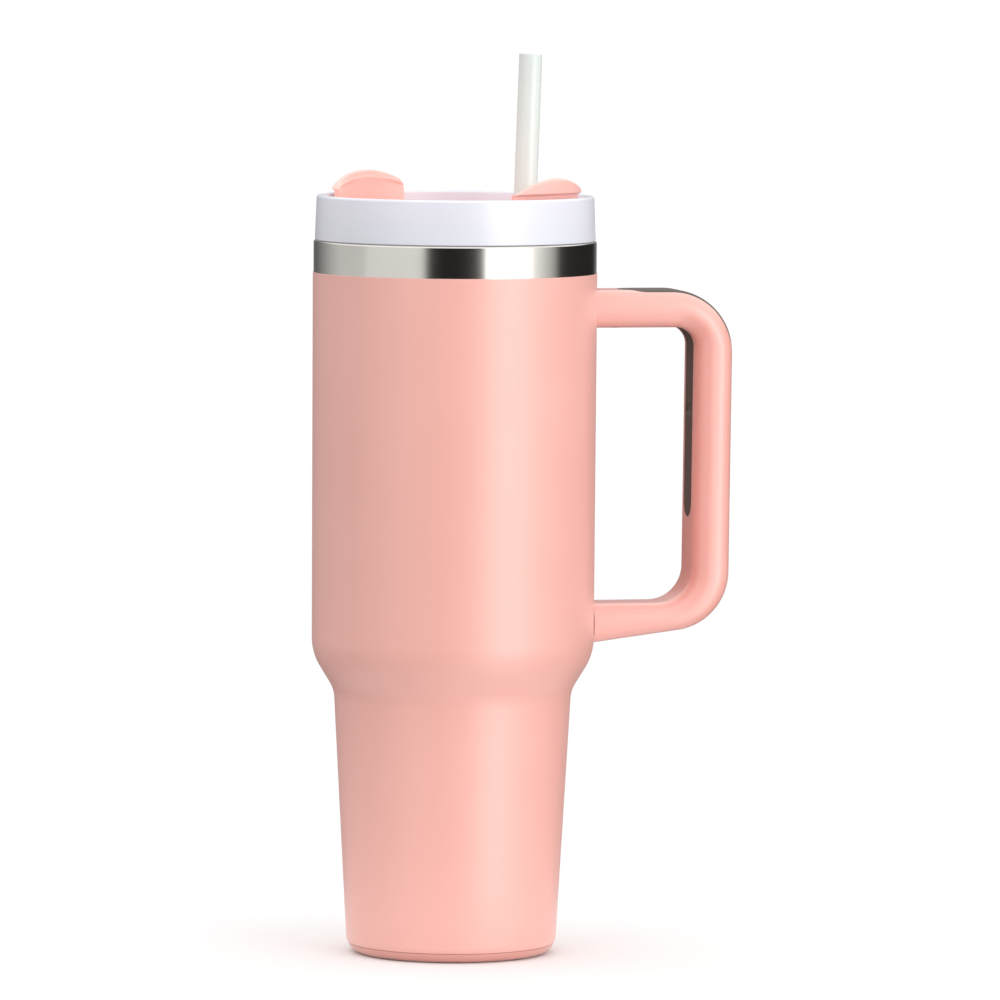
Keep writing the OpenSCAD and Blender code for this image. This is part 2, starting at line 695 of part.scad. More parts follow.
module rotary_cover() {
    rib = 0.8;
    rib_h = 0.7;
    color("lightpink") difference() {
        union() {
            translate([0, 0, cover_z]) cylinder(r = cover_r, h = cover_t);
            translate([0, 0, cover_z + cover_t / 2])
                arc_slot(opening_r, slot_half + rib, slot_a0, slot_a1, cover_t / 2 + rib_h);
            wings();
        }
        translate([0, 0, cover_z - 1]) arc_slot(opening_r, slot_half, slot_a0, slot_a1, far);
        translate([0, 0, cover_z - 1]) cylinder(r = pivot_r + fit, h = far);
        translate([0, 0, cover_z - 1])
            arc_slot(opening_r, drink_half + pad_margin + fit, drink_a0, drink_a0 + drink_span,
                     1 + cover_t / 2);
    }
}
module cover_pad() {
    clear = 0.15;
    color("whitesmoke") translate([0, 0, floor_z + clear])
        arc_slot(opening_r, drink_half + pad_margin, drink_a0, drink_a0 + drink_span,
                 free_gap - clear + cover_t / 2 - fit);
}
// The snap pivot: a domed head, a shaft through the cover and the lid, and a barb below.
module cover_pivot() {
    dome_h = 1.5;
    dome_r = (pivot_head_r * pivot_head_r + dome_h * dome_h) / (2 * dome_h);
    barb_r = pivot_r + 0.9;
    barb_h = 2.4;
    head_z0 = cover_z + cover_t;
    barb_z = floor_z - lid_floor_t - free_gap;
    color("lightpink") {
        intersection() {
            translate([0, 0, head_z0]) cylinder(r = pivot_head_r, h = dome_h);
            translate([0, 0, head_z0 + dome_h - dome_r]) sphere(r = dome_r);
        }
        translate([0, 0, barb_z]) cylinder(r = pivot_r, h = head_z0 - barb_z);
        translate([0, 0, barb_z - barb_h]) cylinder(r1 = pivot_r - 0.6, r2 = barb_r, h = barb_h);
    }
}

// Straw ----------------------------------------------------------------------------------

straw_below = (floor_z - liner_floor_z - straw_gap) / cos(straw_lean) - straw_r * tan(straw_lean);
module straw() {
    color("whitesmoke") on_straw() translate([0, 0, -straw_below])
        tube(straw_r, straw_r - straw_t, straw_below + straw_up);
}

outer_shell();
powder_coat();
inner_liner();
liner_floor();
vacuum_base();
vacuum_seal();
getter();
base_cap();
bracket_upper();
bracket_lower();
handle_screws();
screw_plugs();
handle();
grip_outer();
grip_inner();
lid();
lid_gasket();
straw_grommet();
pivot_seal();
rotary_cover();
cover_pad();
cover_pivot();
straw();
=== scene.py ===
"""The looks of an insulated tumbler with a handle, a turning lid cover and a straw."""
import json
import logging
import math
from dataclasses import dataclass, field
from enum import Enum
from typing import Any, Callable, Optional, Sequence

import bmesh
import bpy
from mathutils import Matrix, Vector


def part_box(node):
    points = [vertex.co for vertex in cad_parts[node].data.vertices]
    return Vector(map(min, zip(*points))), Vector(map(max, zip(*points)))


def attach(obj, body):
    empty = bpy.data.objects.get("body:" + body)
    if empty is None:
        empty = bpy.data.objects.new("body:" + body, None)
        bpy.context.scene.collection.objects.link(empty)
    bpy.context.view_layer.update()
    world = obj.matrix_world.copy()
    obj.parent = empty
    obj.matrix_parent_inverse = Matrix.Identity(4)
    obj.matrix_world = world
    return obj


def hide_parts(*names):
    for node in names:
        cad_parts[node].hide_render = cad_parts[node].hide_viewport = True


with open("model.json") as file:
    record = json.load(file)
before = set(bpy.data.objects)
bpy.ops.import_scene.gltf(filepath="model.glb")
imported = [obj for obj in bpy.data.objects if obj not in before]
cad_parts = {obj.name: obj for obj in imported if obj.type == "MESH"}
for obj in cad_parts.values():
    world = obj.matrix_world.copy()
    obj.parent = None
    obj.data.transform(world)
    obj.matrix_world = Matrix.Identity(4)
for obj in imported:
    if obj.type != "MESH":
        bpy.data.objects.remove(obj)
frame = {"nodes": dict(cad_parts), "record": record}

MM = 0.001
ROUND = 224  # faces round a full turn of a visible piece
Point = tuple[float, float]

log = logging.getLogger("tumbler")


# Colours and nodes ------------------------------------------------------------------------


def linear(code: str) -> tuple[float, float, float, float]:
    """Turns an sRGB hex colour to the linear colour that shaders take.

    Args:
        code: Six hex digits after a hash, such as "#ffffff".

    Returns:
        The linear red, green and blue, and an alpha of one.
    """
    parts = [int(code[i:i + 2], 16) / 255 for i in (1, 3, 5)]
    turned = [c / 12.92 if c <= 0.04045 else ((c + 0.055) / 1.055) ** 2.4 for c in parts]
    return (turned[0], turned[1], turned[2], 1.0)


def add_node(tree: bpy.types.NodeTree, kind: str, settings: dict[Any, Any],
             links: Optional[dict[Any, bpy.types.NodeSocket]] = None) -> bpy.types.Node:
    """Adds a node with its settings and the links into it.

    Args:
        tree: The node tree that takes it.
        kind: The node's type name.
        settings: Values for inputs, by name or number, and for the node's own attributes.
        links: The sockets that feed its inputs, by input name or number.

    Returns:
        The new node.
    """
    node = tree.nodes.new(kind)
    for key, value in settings.items():
        if isinstance(key, int) or key in node.inputs:
            node.inputs[key].default_value = value
        else:
            setattr(node, key, value)
    for key, socket in (links or {}).items():
        tree.links.new(socket, node.inputs[key])
    return node


def grain(size_mm: float) -> float:
    """Returns the noise scale that draws grains of that size on Object coordinates."""
    return 1 / (size_mm * MM)


class Brushing(Enum):
    """Which way the fine lines run on a brushed metal."""

    AROUND = "around the axis"
    ALONG = "along the axis"


@dataclass(frozen=True)
class PowderCoat:
    """Thermoset polyester powder, sprayed and baked on steel: satin, with a fine orange peel."""

    name: str = "powder_coat_blush"
    colour: str = "#f2b4a9"
    deep: str = "#edada1"
    roughness: float = 0.44
    peel_mm: float = 0.9
    peel_height_mm: float = 0.012

    def build(self) -> bpy.types.Material:
        """Makes the material.

        Returns:
            A pink satin coat whose colour and gloss vary slightly over the pebbled surface.
        """
        material = bpy.data.materials.new(self.name)
        material.use_nodes = True
        tree = material.node_tree
        tree.nodes.clear()
        where = add_node(tree, "ShaderNodeTexCoord", {}).outputs["Object"]
        peel = add_node(tree, "ShaderNodeTexNoise",
                        {"Scale": grain(self.peel_mm), "Detail": 3.0, "Roughness": 0.55},
                        {"Vector": where})
        cloud = add_node(tree, "ShaderNodeTexNoise",
                         {"Scale": grain(35), "Detail": 2.0}, {"Vector": where})
        tint = add_node(tree, "ShaderNodeMix",
                        {"data_type": "RGBA", 6: linear(self.deep), 7: linear(self.colour)},
                        {0: cloud.outputs["Fac"]})
        gloss = add_node(tree, "ShaderNodeMapRange",
                         {"To Min": self.roughness - 0.04, "To Max": self.roughness + 0.05},
                         {"Value": peel.outputs["Fac"]})
        bump = add_node(tree, "ShaderNodeBump",
                        {"Strength": 0.35, "Distance": self.peel_height_mm * MM},
                        {"Height": peel.outputs["Fac"]})
        shader = add_node(tree, "ShaderNodeBsdfPrincipled",
                          {"IOR": 1.55, "Coat Weight": 0.65, "Coat Roughness": 0.36,
                           "Sheen Weight": 0.14, "Sheen Roughness": 0.45},
                          {"Base Color": tint.outputs[2], "Roughness": gloss.outputs["Result"],
                           "Normal": bump.outputs["Normal"]})
        add_node(tree, "ShaderNodeOutputMaterial", {}, {"Surface": shader.outputs["BSDF"]})
        return material


@dataclass(frozen=True)
class StainlessSteel:
    """18/8 stainless steel, drawn and then brushed with an abrasive belt: fine parallel lines."""

    name: str
    brushing: Brushing = Brushing.AROUND
    colour: str = "#d8d5cf"
    roughness: float = 0.2
    line_mm: float = 0.35  # the real lines are about 0.05 mm, drawn coarser so that they show
    line_length_mm: float = 24
    depth_mm: float = 0.003

    def build(self) -> bpy.types.Material:
        """Makes the material.

        Returns:
            A bright metal whose gloss and height vary in long thin lines.
        """
        material = bpy.data.materials.new(self.name)
        material.use_nodes = True
        tree = material.node_tree
        tree.nodes.clear()
        where = add_node(tree, "ShaderNodeTexCoord", {}).outputs["Object"]
        fine, coarse = grain(self.line_mm), grain(self.line_length_mm)
        stretch = ((coarse, coarse, fine) if self.brushing is Brushing.AROUND
                   else (fine, fine, coarse))
        lay = add_node(tree, "ShaderNodeMapping", {"Scale": stretch}, {"Vector": where})
        lines = add_node(tree, "ShaderNodeTexNoise", {"Scale": 1.0, "Detail": 4.0, "Roughness": 0.6},
                         {"Vector": lay.outputs["Vector"]})
        smear = add_node(tree, "ShaderNodeTexNoise", {"Scale": grain(18), "Detail": 1.0},
                         {"Vector": where})
        gloss = add_node(tree, "ShaderNodeMapRange",
                         {"To Min": self.roughness - 0.05, "To Max": self.roughness + 0.07},
                         {"Value": lines.outputs["Fac"]})
        tint = add_node(tree, "ShaderNodeMix",
                        {"data_type": "RGBA", 6: linear(self.colour), 7: linear("#cfccc5")},
                        {0: smear.outputs["Fac"]})
        bump = add_node(tree, "ShaderNodeBump", {"Strength": 0.25, "Distance": self.depth_mm * MM},
                        {"Height": lines.outputs["Fac"]})
        shader = add_node(tree, "ShaderNodeBsdfPrincipled", {"Metallic": 1.0},
                          {"Base Color": tint.outputs[2], "Roughness": gloss.outputs["Result"],
                           "Normal": bump.outputs["Normal"]})
        add_node(tree, "ShaderNodeOutputMaterial", {}, {"Surface": shader.outputs["BSDF"]})
        return material


@dataclass(frozen=True)
class MouldedPlastic:
    """A moulded plastic: its tool's fine texture shows as a soft, slightly uneven gloss."""

    name: str
    colour: str
    deep: str
    roughness: float
    ior: float = 1.46
    glow: float = 0.0  # how much light wanders inside it
    glow_mm: float = 2.0
    glow_tint: tuple[float, float, float] = (1.0, 1.0, 1.0)
    clear: float = 0.0  # how much light passes straight into it
    texture_mm: float = 0.5
    texture_height_mm: float = 0.004
    coat: float = 0.0
    painted_glow: float = 0.0  # painted light: a steady white glow added to a milky plastic, no lamp, as if it were lit from all round

    def build(self) -> bpy.types.Material:
        """Makes the material.

        Returns:
            A plastic with a fine moulded texture and a slow change of tint.
        """
        material = bpy.data.materials.new(self.name)
        material.use_nodes = True
        tree = material.node_tree
        tree.nodes.clear()
        where = add_node(tree, "ShaderNodeTexCoord", {}).outputs["Object"]
        texture = add_node(tree, "ShaderNodeTexNoise",
                           {"Scale": grain(self.texture_mm), "Detail": 2.0}, {"Vector": where})
        flow = add_node(tree, "ShaderNodeTexNoise", {"Scale": grain(22), "Detail": 2.0},
                        {"Vector": where})
        tint = add_node(tree, "ShaderNodeMix",
                        {"data_type": "RGBA", 6: linear(self.deep), 7: linear(self.colour)},
                        {0: flow.outputs["Fac"]})
        gloss = add_node(tree, "ShaderNodeMapRange",
                         {"To Min": self.roughness - 0.03, "To Max": self.roughness + 0.03},
                         {"Value": texture.outputs["Fac"]})
        bump = add_node(tree, "ShaderNodeBump",
                        {"Strength": 0.3, "Distance": self.texture_height_mm * MM},
                        {"Height": texture.outputs["Fac"]})
        shader = add_node(tree, "ShaderNodeBsdfPrincipled",
                          {"IOR": self.ior, "Subsurface Weight": self.glow,
                           "Subsurface Radius": self.glow_tint,
                           "Subsurface Scale": self.glow_mm * MM,
                           "Transmission Weight": self.clear,
                           "Coat Weight": self.coat, "Coat Roughness": 0.3,
                           # Emission Color and Emission Strength paint a white glow on the plastic: painted light, not
                           # a lamp.
                           "Emission Color": linear("#ffffff"),
                           "Emission Strength": self.painted_glow},
                          {"Base Color": tint.outputs[2], "Roughness": gloss.outputs["Result"],
                           "Normal": bump.outputs["Normal"]})
        add_node(tree, "ShaderNodeOutputMaterial", {}, {"Surface": shader.outputs["BSDF"]})
        return material


PINK_GLOW = (1.0, 0.6, 0.5)  # red light wanders furthest in the pink plastics

# Finishes of this tumbler, each named for what the real one is.
SHELL_STEEL = StainlessSteel("brushed_stainless_band", roughness=0.17, depth_mm=0.006)
LINER_STEEL = StainlessSteel("brushed_stainless_liner", roughness=0.3, line_length_mm=30)
PLATE_STEEL = StainlessSteel("mill_stainless_plate", brushing=Brushing.ALONG, roughness=0.35,
                             line_mm=0.6, line_length_mm=6)
SCREW_STEEL = StainlessSteel("zinc_plated_screw", colour="#c9cbd0", roughness=0.3,
                             line_mm=0.4, line_length_mm=3)
SEAL_GLASS = MouldedPlastic("solder_glass_bead", "#6d6a60", "#55534b", 0.15, ior=1.6, texture_mm=1.5)
GETTER_METAL = StainlessSteel("sintered_getter", brushing=Brushing.ALONG, colour="#8d8a86",
                              roughness=0.6, line_mm=0.5, line_length_mm=0.5, depth_mm=0.03)
COAT = PowderCoat()
# A darker copy of the body's coat for the base cap: painted shade on the base, which faces the floor.
SHADED_BASE_COAT = PowderCoat("powder_coat_base_painted_shade", colour="#e09f93", deep="#d9978a")
# Polypropylene, injection moulded, in the body's pink: a satin skin with a little inner light.
HANDLE_PLASTIC = MouldedPlastic("polypropylene_handle", "#f5b3a8", "#f1aca0", 0.42, ior=1.5, glow=0.2,
                                glow_mm=1.5, glow_tint=PINK_GLOW, texture_mm=0.7, coat=1.0)
# Thermoplastic elastomer, moulded over the handle: matt, dark warm grey.
GRIP_RUBBER = MouldedPlastic("elastomer_grip", "#5b514a", "#4d433c", 0.6, ior=1.5,
                             texture_mm=0.45, texture_height_mm=0.02)
# Copolyester, injection moulded with a frosting additive: milky, with a polished outer skin.
# Its emission is painted light: a faint white glow, no lamp, that brightens the lid.
LID_PLASTIC = MouldedPlastic("frosted_copolyester", "#ebebf3", "#e5e5ef", 0.26, ior=1.49,
                             glow=0.35, glow_mm=1.2, clear=0.15, painted_glow=0.07, texture_mm=0.5, texture_height_mm=0.002,
                             coat=0.15)
# Polypropylene, tinted pink and slightly translucent.
COVER_PLASTIC = MouldedPlastic("polypropylene_cover", "#ffc6bd", "#ffbeb4", 0.3, glow=0.6,
                               glow_mm=1.2, glow_tint=PINK_GLOW, texture_mm=0.8)
SILICONE = MouldedPlastic("food_silicone", "#ecebe8", "#e3e2de", 0.5, ior=1.41, glow=0.3,
                          glow_mm=2, texture_mm=0.6, texture_height_mm=0.006)
# Polypropylene, extruded: a milky tube that light passes into.
# Its emission is painted light: a faint white glow, no lamp, that brightens the straw.
STRAW_PLASTIC = MouldedPlastic("extruded_polypropylene", "#d3dad6", "#cdd5d0", 0.28, glow=0.3,
                               glow_mm=0.3, painted_glow=0.1, texture_mm=0.5, texture_height_mm=0.002)


# Shapes -----------------------------------------------------------------------------------


def arc(centre: Point, radius: float, start: float, end: float, count: int) -> list[Point]:
    """Finds points along an arc.

    Args:
        centre: The arc's centre.
        radius: Its radius.
        start: Direction of the first point, in degrees.
        end: Direction of the last point, in degrees.
        count: Number of chords.

    Returns:
        The points, one more than the chords.
    """
    turns = [math.radians(start + (end - start) * i / count) for i in range(count + 1)]
    return [(centre[0] + radius * math.cos(t), centre[1] + radius * math.sin(t)) for t in turns]


def spun(outline: Sequence[Point], segments: int = ROUND) -> bmesh.types.BMesh:
    """Turns an outline about the axis.

    Args:
        outline: Radius and height of each corner in millimetres, round a closed section. One
            that starts and ends on the axis is closed by it.
        segments: Number of faces round the turn.

    Returns:
        A closed mesh with its faces outwards.
    """
    bm = bmesh.new()
    verts = [bm.verts.new((r * MM, 0, z * MM)) for r, z in outline]
    edges = [bm.edges.new(pair) for pair in zip(verts, verts[1:])]
    if outline[0][0] > 0 or outline[-1][0] > 0:
        edges.append(bm.edges.new((verts[-1], verts[0])))
    bmesh.ops.spin(bm, geom=verts + edges, cent=(0, 0, 0), axis=(0, 0, 1), angle=2 * math.pi,
                   steps=segments, use_merge=True)
    return closed(bm)


def closed(bm: bmesh.types.BMesh) -> bmesh.types.BMesh:
    """Merges doubled points, drops what collapsed and turns every face outwards.

    Args:
        bm: The mesh to close.

    Returns:
        The same mesh.
    """
    bmesh.ops.remove_doubles(bm, verts=bm.verts, dist=2e-6)
    bmesh.ops.dissolve_degenerate(bm, edges=bm.edges, dist=1e-7)
    bmesh.ops.recalc_face_normals(bm, faces=bm.faces)
    if bm.calc_volume(signed=True) < 0:
        bmesh.ops.reverse_faces(bm, faces=bm.faces)
    return bm


def slot_block(radius: float, half: float, start: float, end: float, low: float,
               high: float) -> bmesh.types.BMesh:
    """Makes a block along an arc about the axis, with round ends.

    Args:
        radius: Radius of the arc's middle line, in millimetres.
        half: Half the block's width.
        start: Direction of its first end, in degrees.
        end: Direction of its last end.
        low: Height of its underside.
        high: Height of its top.

    Returns:
        A closed mesh.
    """
    ends = [(radius * math.cos(math.radians(a)), radius * math.sin(math.radians(a)))
            for a in (start, end)]
    outline = (arc((0, 0), radius + half, start, end, 32) + arc(ends[1], half, end, end + 180, 24)[1:]
               + arc((0, 0), radius - half, end, start, 32)[1:]
               + arc(ends[0], half, start + 180, start + 360, 24)[1:-1])
    bm = bmesh.new()
    bm.faces.new([bm.verts.new((x * MM, y * MM, low * MM)) for x, y in outline])
    raised = bmesh.ops.extrude_face_region(bm, geom=bm.faces[:])
    bmesh.ops.translate(bm, vec=(0, 0, (high - low) * MM),
                        verts=[g for g in raised["geom"] if isinstance(g, bmesh.types.BMVert)])
    return closed(bm)


def to_object(bm: bmesh.types.BMesh, name: str) -> bpy.types.Object:
    """Turns a working mesh into an object at the origin.

    Args:
        bm: The working mesh, which is freed.
        name: The object's name.

    Returns:
        The object.
    """
    mesh = bpy.data.meshes.new(name)
    bm.to_mesh(mesh)
    bm.free()
    thing = bpy.data.objects.new(name, mesh)
    bpy.context.scene.collection.objects.link(thing)
    return thing


def carved(base: bmesh.types.BMesh, name: str,
           tools: Sequence[tuple[str, bmesh.types.BMesh]]) -> bmesh.types.BMesh:
    """Joins or cuts a mesh with others.

    Args:
        base: The mesh that is worked on.
        name: A name for the work.
        tools: Pairs of an operation, UNION or DIFFERENCE, and the mesh to do it with.

    Returns:
        The worked mesh.
    """
    thing = to_object(base, name)
    for operation, tool in tools:
        other = to_object(tool, name + "_tool")
        step = thing.modifiers.new("work", "BOOLEAN")
        step.operation = operation
        step.solver = "EXACT"
        step.object = other
        graph = bpy.context.evaluated_depsgraph_get()
        worked = bpy.data.meshes.new_from_object(thing.evaluated_get(graph))
        thing.modifiers.clear()
        thing.data = worked
        bpy.data.objects.remove(other)
    result = bmesh.new()
    result.from_mesh(thing.data)
    bpy.data.objects.remove(thing)
    return result


@dataclass
class Finisher:
    """Dresses pieces: it keeps one material of each finish and reports each piece."""

    made: dict[str, bpy.types.Material] = field(default_factory=dict)

    def material(self, finish: Any) -> bpy.types.Material:
        """Returns the finish's material, made on first use."""
        if finish.name not in self.made:
            self.made[finish.name] = finish.build()
        return self.made[finish.name]

    def piece(self, bm: bmesh.types.BMesh, name: str, body: str, slot: str, finish: Any,
              stands_for: Sequence[str] = (), crease: float = 38) -> bpy.types.Object:
        """Makes a finished piece from a working mesh.

        Args:
            bm: The working mesh.
            name: The piece's name.
            body: The body that it rides on.
            slot: The record's material slot; not used.
            finish: What it is made of.
            stands_for: The CAD nodes that it stands for.
            crease: Edges that turn more than this many degrees stay crisp.

        Returns:
            The piece.
        """
        thing = to_object(bm, name)
        thing.data.shade_smooth()
        thing.data.set_sharp_from_angle(angle=math.radians(crease))
        thing.data.materials.append(self.material(finish))
        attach(thing, body)
        if stands_for:
            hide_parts(*stands_for)
        log.info("%s: %d faces, on %s", name, len(thing.data.polygons), body)
        return thing

    def node(self, name: str, finish: Any) -> None:
        """Gives a CAD node that stays in view its material."""
        thing = frame["nodes"][name]
        thing.data.materials.clear()
        thing.data.materials.append(self.material(finish))
        log.info("%s: CAD node, %s", name, finish.name)


# Vessel -----------------------------------------------------------------------------------


@dataclass
class Side:
    """The side of the body from the top down, in millimetres. Each wall is this line moved by d."""

    rim_z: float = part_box("outer_shell")[1].z / MM
    rim_r: float = 49.02
    band_h: float = 11
    draft: float = 0.126
    shoulder_z: float = 109
    shoulder_in: float = 7.89
    shoulder_slope: float = 31.4
    shoulder_r: float = 19
    waist_r: float = 12
    taper: float = 3.14
    base_turn_r: float = 5.6
    base_turn: float = 26
    seam_z: float = 3.4
    steps: int = 28

    def __post_init__(self) -> None:
        """Works out where each arc of the side has its centre."""
        slope, taper, draft = (math.radians(a) for a in (self.shoulder_slope, self.taper, self.draft))
        self.band_z = self.rim_z - self.band_h
        top = (self.rim_r - (self.band_z - self.shoulder_z) * math.tan(draft), self.shoulder_z)
        self.shoulder_c = (top[0] - self.shoulder_r * math.cos(draft),
                           top[1] + self.shoulder_r * math.sin(draft))
        turned = (self.shoulder_r * (math.cos(draft) - math.cos(slope))
                  + self.waist_r * (math.cos(taper) - math.cos(slope)))
        length = (self.shoulder_in - turned) / math.sin(slope)
        end = (self.shoulder_c[0] + self.shoulder_r * math.cos(slope) - length * math.sin(slope),
               self.shoulder_c[1] - self.shoulder_r * math.sin(slope) - length * math.cos(slope))
        self.waist_c = (end[0] + self.waist_r * math.cos(slope),
                        end[1] - self.waist_r * math.sin(slope))
        self.waist_end = (self.waist_c[0] - self.waist_r * math.cos(taper),
                          self.waist_c[1] + self.waist_r * math.sin(taper))
        turn_z = self.seam_z + self.base_turn_r * (math.sin(math.radians(self.base_turn))
                                                   - math.sin(taper))
        drop = (self.waist_end[1] - turn_z) / math.cos(taper)
        self.base_c = (self.waist_end[0] - drop * math.sin(taper) - self.base_turn_r * math.cos(taper),
                       self.waist_end[1] - drop * math.cos(taper) + self.base_turn_r * math.sin(taper))

    def radius(self, d: float, z: float) -> float:
        """Returns the upper body's radius at height z, moved by d."""
        return self.rim_r + d - (self.band_z - z) * math.tan(math.radians(self.draft))

    def middle(self, d: float) -> list[Point]:
        """Returns the shoulder and the waist, moved by d."""
        return (arc(self.shoulder_c, self.shoulder_r + d, -self.draft, -self.shoulder_slope, self.steps)
                + arc(self.waist_c, self.waist_r - d, 180 - self.shoulder_slope, 180 - self.taper,
                      self.steps))

    def low(self, d: float) -> list[Point]:
        """Returns the turn above the base seam, moved by d."""
        return arc(self.base_c, self.base_turn_r + d, -self.taper, -self.base_turn, self.steps // 2)

    def taper_at(self, d: float, z: float) -> Point:
        """Returns the point of the tapered lower body at height z, moved by d."""
        lean = math.radians(self.taper)
        return (self.waist_end[0] + d / math.cos(lean) - (self.waist_end[1] - z) * math.tan(lean), z)


@dataclass
class Vessel:
    """The double-walled steel body with its coat, liner and base."""

    side: Side
    dress: Finisher
    coat: float = 0.25
    coat_gap: float = 0.05
    shell: float = 0.5
    wall: float = 4.4
    liner: float = 0.5
    floor_z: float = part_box("liner_floor")[0].z / MM + 0.5
    floor_corner: float = 9
    weld_z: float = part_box("liner_floor")[1].z / MM
    coat_edge: float = 0.12
    cap_turn: float = 4.2
    foot_w: float = 4.5
    foot_hollow: float = 1.2
    plate: float = 0.8
    rim_turn: float = 0.8

    def build_shell(self) -> None:
        """Builds the outer steel shell, whose rim shows above the coat."""
        outer, side = -self.coat, self.side
        turn = self.rim_turn
        rim_c = (side.radius(outer, side.rim_z) - turn, side.rim_z - turn)
        weld_r = side.radius(outer, side.rim_z) - self.wall / 2
        outline = ([(weld_r, side.rim_z)] + arc(rim_c, turn, 90, 0, 10)
                   + side.middle(outer) + side.low(outer)
                   + side.low(outer - self.shell)[::-1] + side.middle(outer - self.shell)[::-1]
                   + arc(rim_c, turn - self.shell, 0, 90, 10)
                   + [(weld_r, side.rim_z - self.shell)])
        self.dress.piece(spun(outline), "steel_shell", "vessel", "brushed_shell", SHELL_STEEL,
                         ["outer_shell"])

    def build_coat(self) -> None:
        """Builds the coat with a soft upper edge against the bare band."""
        side = self.side
        inner = self.coat_gap - self.coat
        top = side.band_z
        outline = ([(side.radius(inner, top), top), (side.radius(-self.coat_edge, top), top),
                    (side.radius(-self.coat_edge / 4, top), top - self.coat_edge / 2),
                    (side.radius(0, top), top - 2 * self.coat_edge)]
                   + side.middle(0) + side.low(0)
                   + side.low(inner)[::-1] + side.middle(inner)[::-1])
        self.dress.piece(spun(outline), "pink_coat", "vessel", "coat", COAT, ["powder_coat"])

    def build_liner(self) -> None:
        """Builds the liner with its rolled lip, and the bowl welded to its foot."""
        side = self.side
        inner = -self.coat - self.wall
        outer = inner + self.liner
        roll = self.wall / 2
        lip_c = (side.radius(inner, side.rim_z) + roll, side.rim_z - roll)
        outline = ([side.taper_at(inner, self.weld_z)] + side.middle(inner)[::-1]
                   + arc(lip_c, roll, 180, 90, 14) + arc(lip_c, roll - self.liner, 90, 180, 14)
                   + side.middle(outer) + [side.taper_at(outer, self.weld_z)])
        self.dress.piece(spun(outline), "steel_liner", "vessel", "liner_steel", LINER_STEEL,
                         ["inner_liner"])
        foot = side.taper_at(inner, self.floor_z + self.floor_corner)
        centre = (foot[0] - self.floor_corner, foot[1])
        bowl = ([side.taper_at(inner, self.weld_z)]
                + arc(centre, self.floor_corner, 0, -90, 14)
                + [(6, self.floor_z), (0, self.floor_z), (0, self.floor_z - self.liner),
                   (6, self.floor_z - self.liner)]
                + arc(centre, self.floor_corner + self.liner, -90, 0, 14)
                + [side.taper_at(outer, self.weld_z)])
        self.dress.piece(spun(bowl), "steel_liner_bowl", "vessel", "liner_steel", LINER_STEEL,
                         ["liner_floor"])

    def build_base(self) -> None:
        """Builds the pressed cap under the base, whose foot stands on the table."""
        side = self.side
        top = side.seam_z - 0.2
        spigot = side.low(-self.coat - self.shell)[-1][0] - 0.05
        foot_r = side.low(0)[-1][0] - 0.1 - self.cap_turn
        start = math.degrees(math.asin((self.cap_turn - top) / self.cap_turn))
        inner = foot_r - self.foot_w
        outline = ([(spigot, top + 1.4), (spigot, top)]
                   + arc((foot_r, self.cap_turn), self.cap_turn, -start, -90, 16)
                   + arc((inner + 0.4, 0.4), 0.4, -90, -150, 4)
                   + arc((inner - 1.9, self.foot_hollow - 0.6), 0.6, 40, 90, 5)
                   + [(20, self.foot_hollow), (19.4, self.foot_hollow + 0.35),
                      (0, self.foot_hollow + 0.35), (0, self.foot_hollow + self.plate),
                      (inner, self.foot_hollow + self.plate),
                      (foot_r, self.plate + self.foot_hollow / 2), (spigot - 1.8, top),
                      (spigot - self.plate, top + 1.4)])
        # The base cap takes the darker copy of the coat: painted shade.
        self.dress.piece(spun(outline), "pink_base_cap", "vessel", "coated_steel", SHADED_BASE_COAT,
                         ["base_cap"], crease=50)

    def build(self) -> None:
        """Builds every visible wall and dresses the parts inside them."""
        self.build_shell()
        self.build_coat()
        self.build_liner()
        self.build_base()
        for name, finish in (("vacuum_base", PLATE_STEEL), ("vacuum_seal", SEAL_GLASS),
                             ("getter", GETTER_METAL), ("bracket_upper", PLATE_STEEL),
                             ("bracket_lower", PLATE_STEEL), ("handle_screws", SCREW_STEEL)):
            self.dress.node(name, finish)


# Handle -----------------------------------------------------------------------------------


class Face(Enum):
    """The face of the handle that a grip lies on."""

    OUTER = 1
    INNER = -1


@dataclass(frozen=True)
class Crown:
    """How far a strip stands above the skin under it, in millimetres."""

    height: float
    edge: float = 0.12
    groove_z: Optional[float] = None
    groove_half: float = 1.2
    groove_side: float = 0.3
    groove_depth: float = 0.8

    def above(self, share: float, z: float) -> float:
        """Finds the height at one place.

        Args:
            share: Distance from the strip's middle line, as a share of its half width.
            z: Height of the place in space.

        Returns:
            The height above the skin.
        """
        lift = self.height - self.edge * share ** 10
        if self.groove_z is None:
            return lift
        away = max(0.0, abs(z - self.groove_z) - self.groove_half)
        return lift - self.groove_depth * max(0.0, 1 - away / self.groove_side) * (1 - share ** 16)


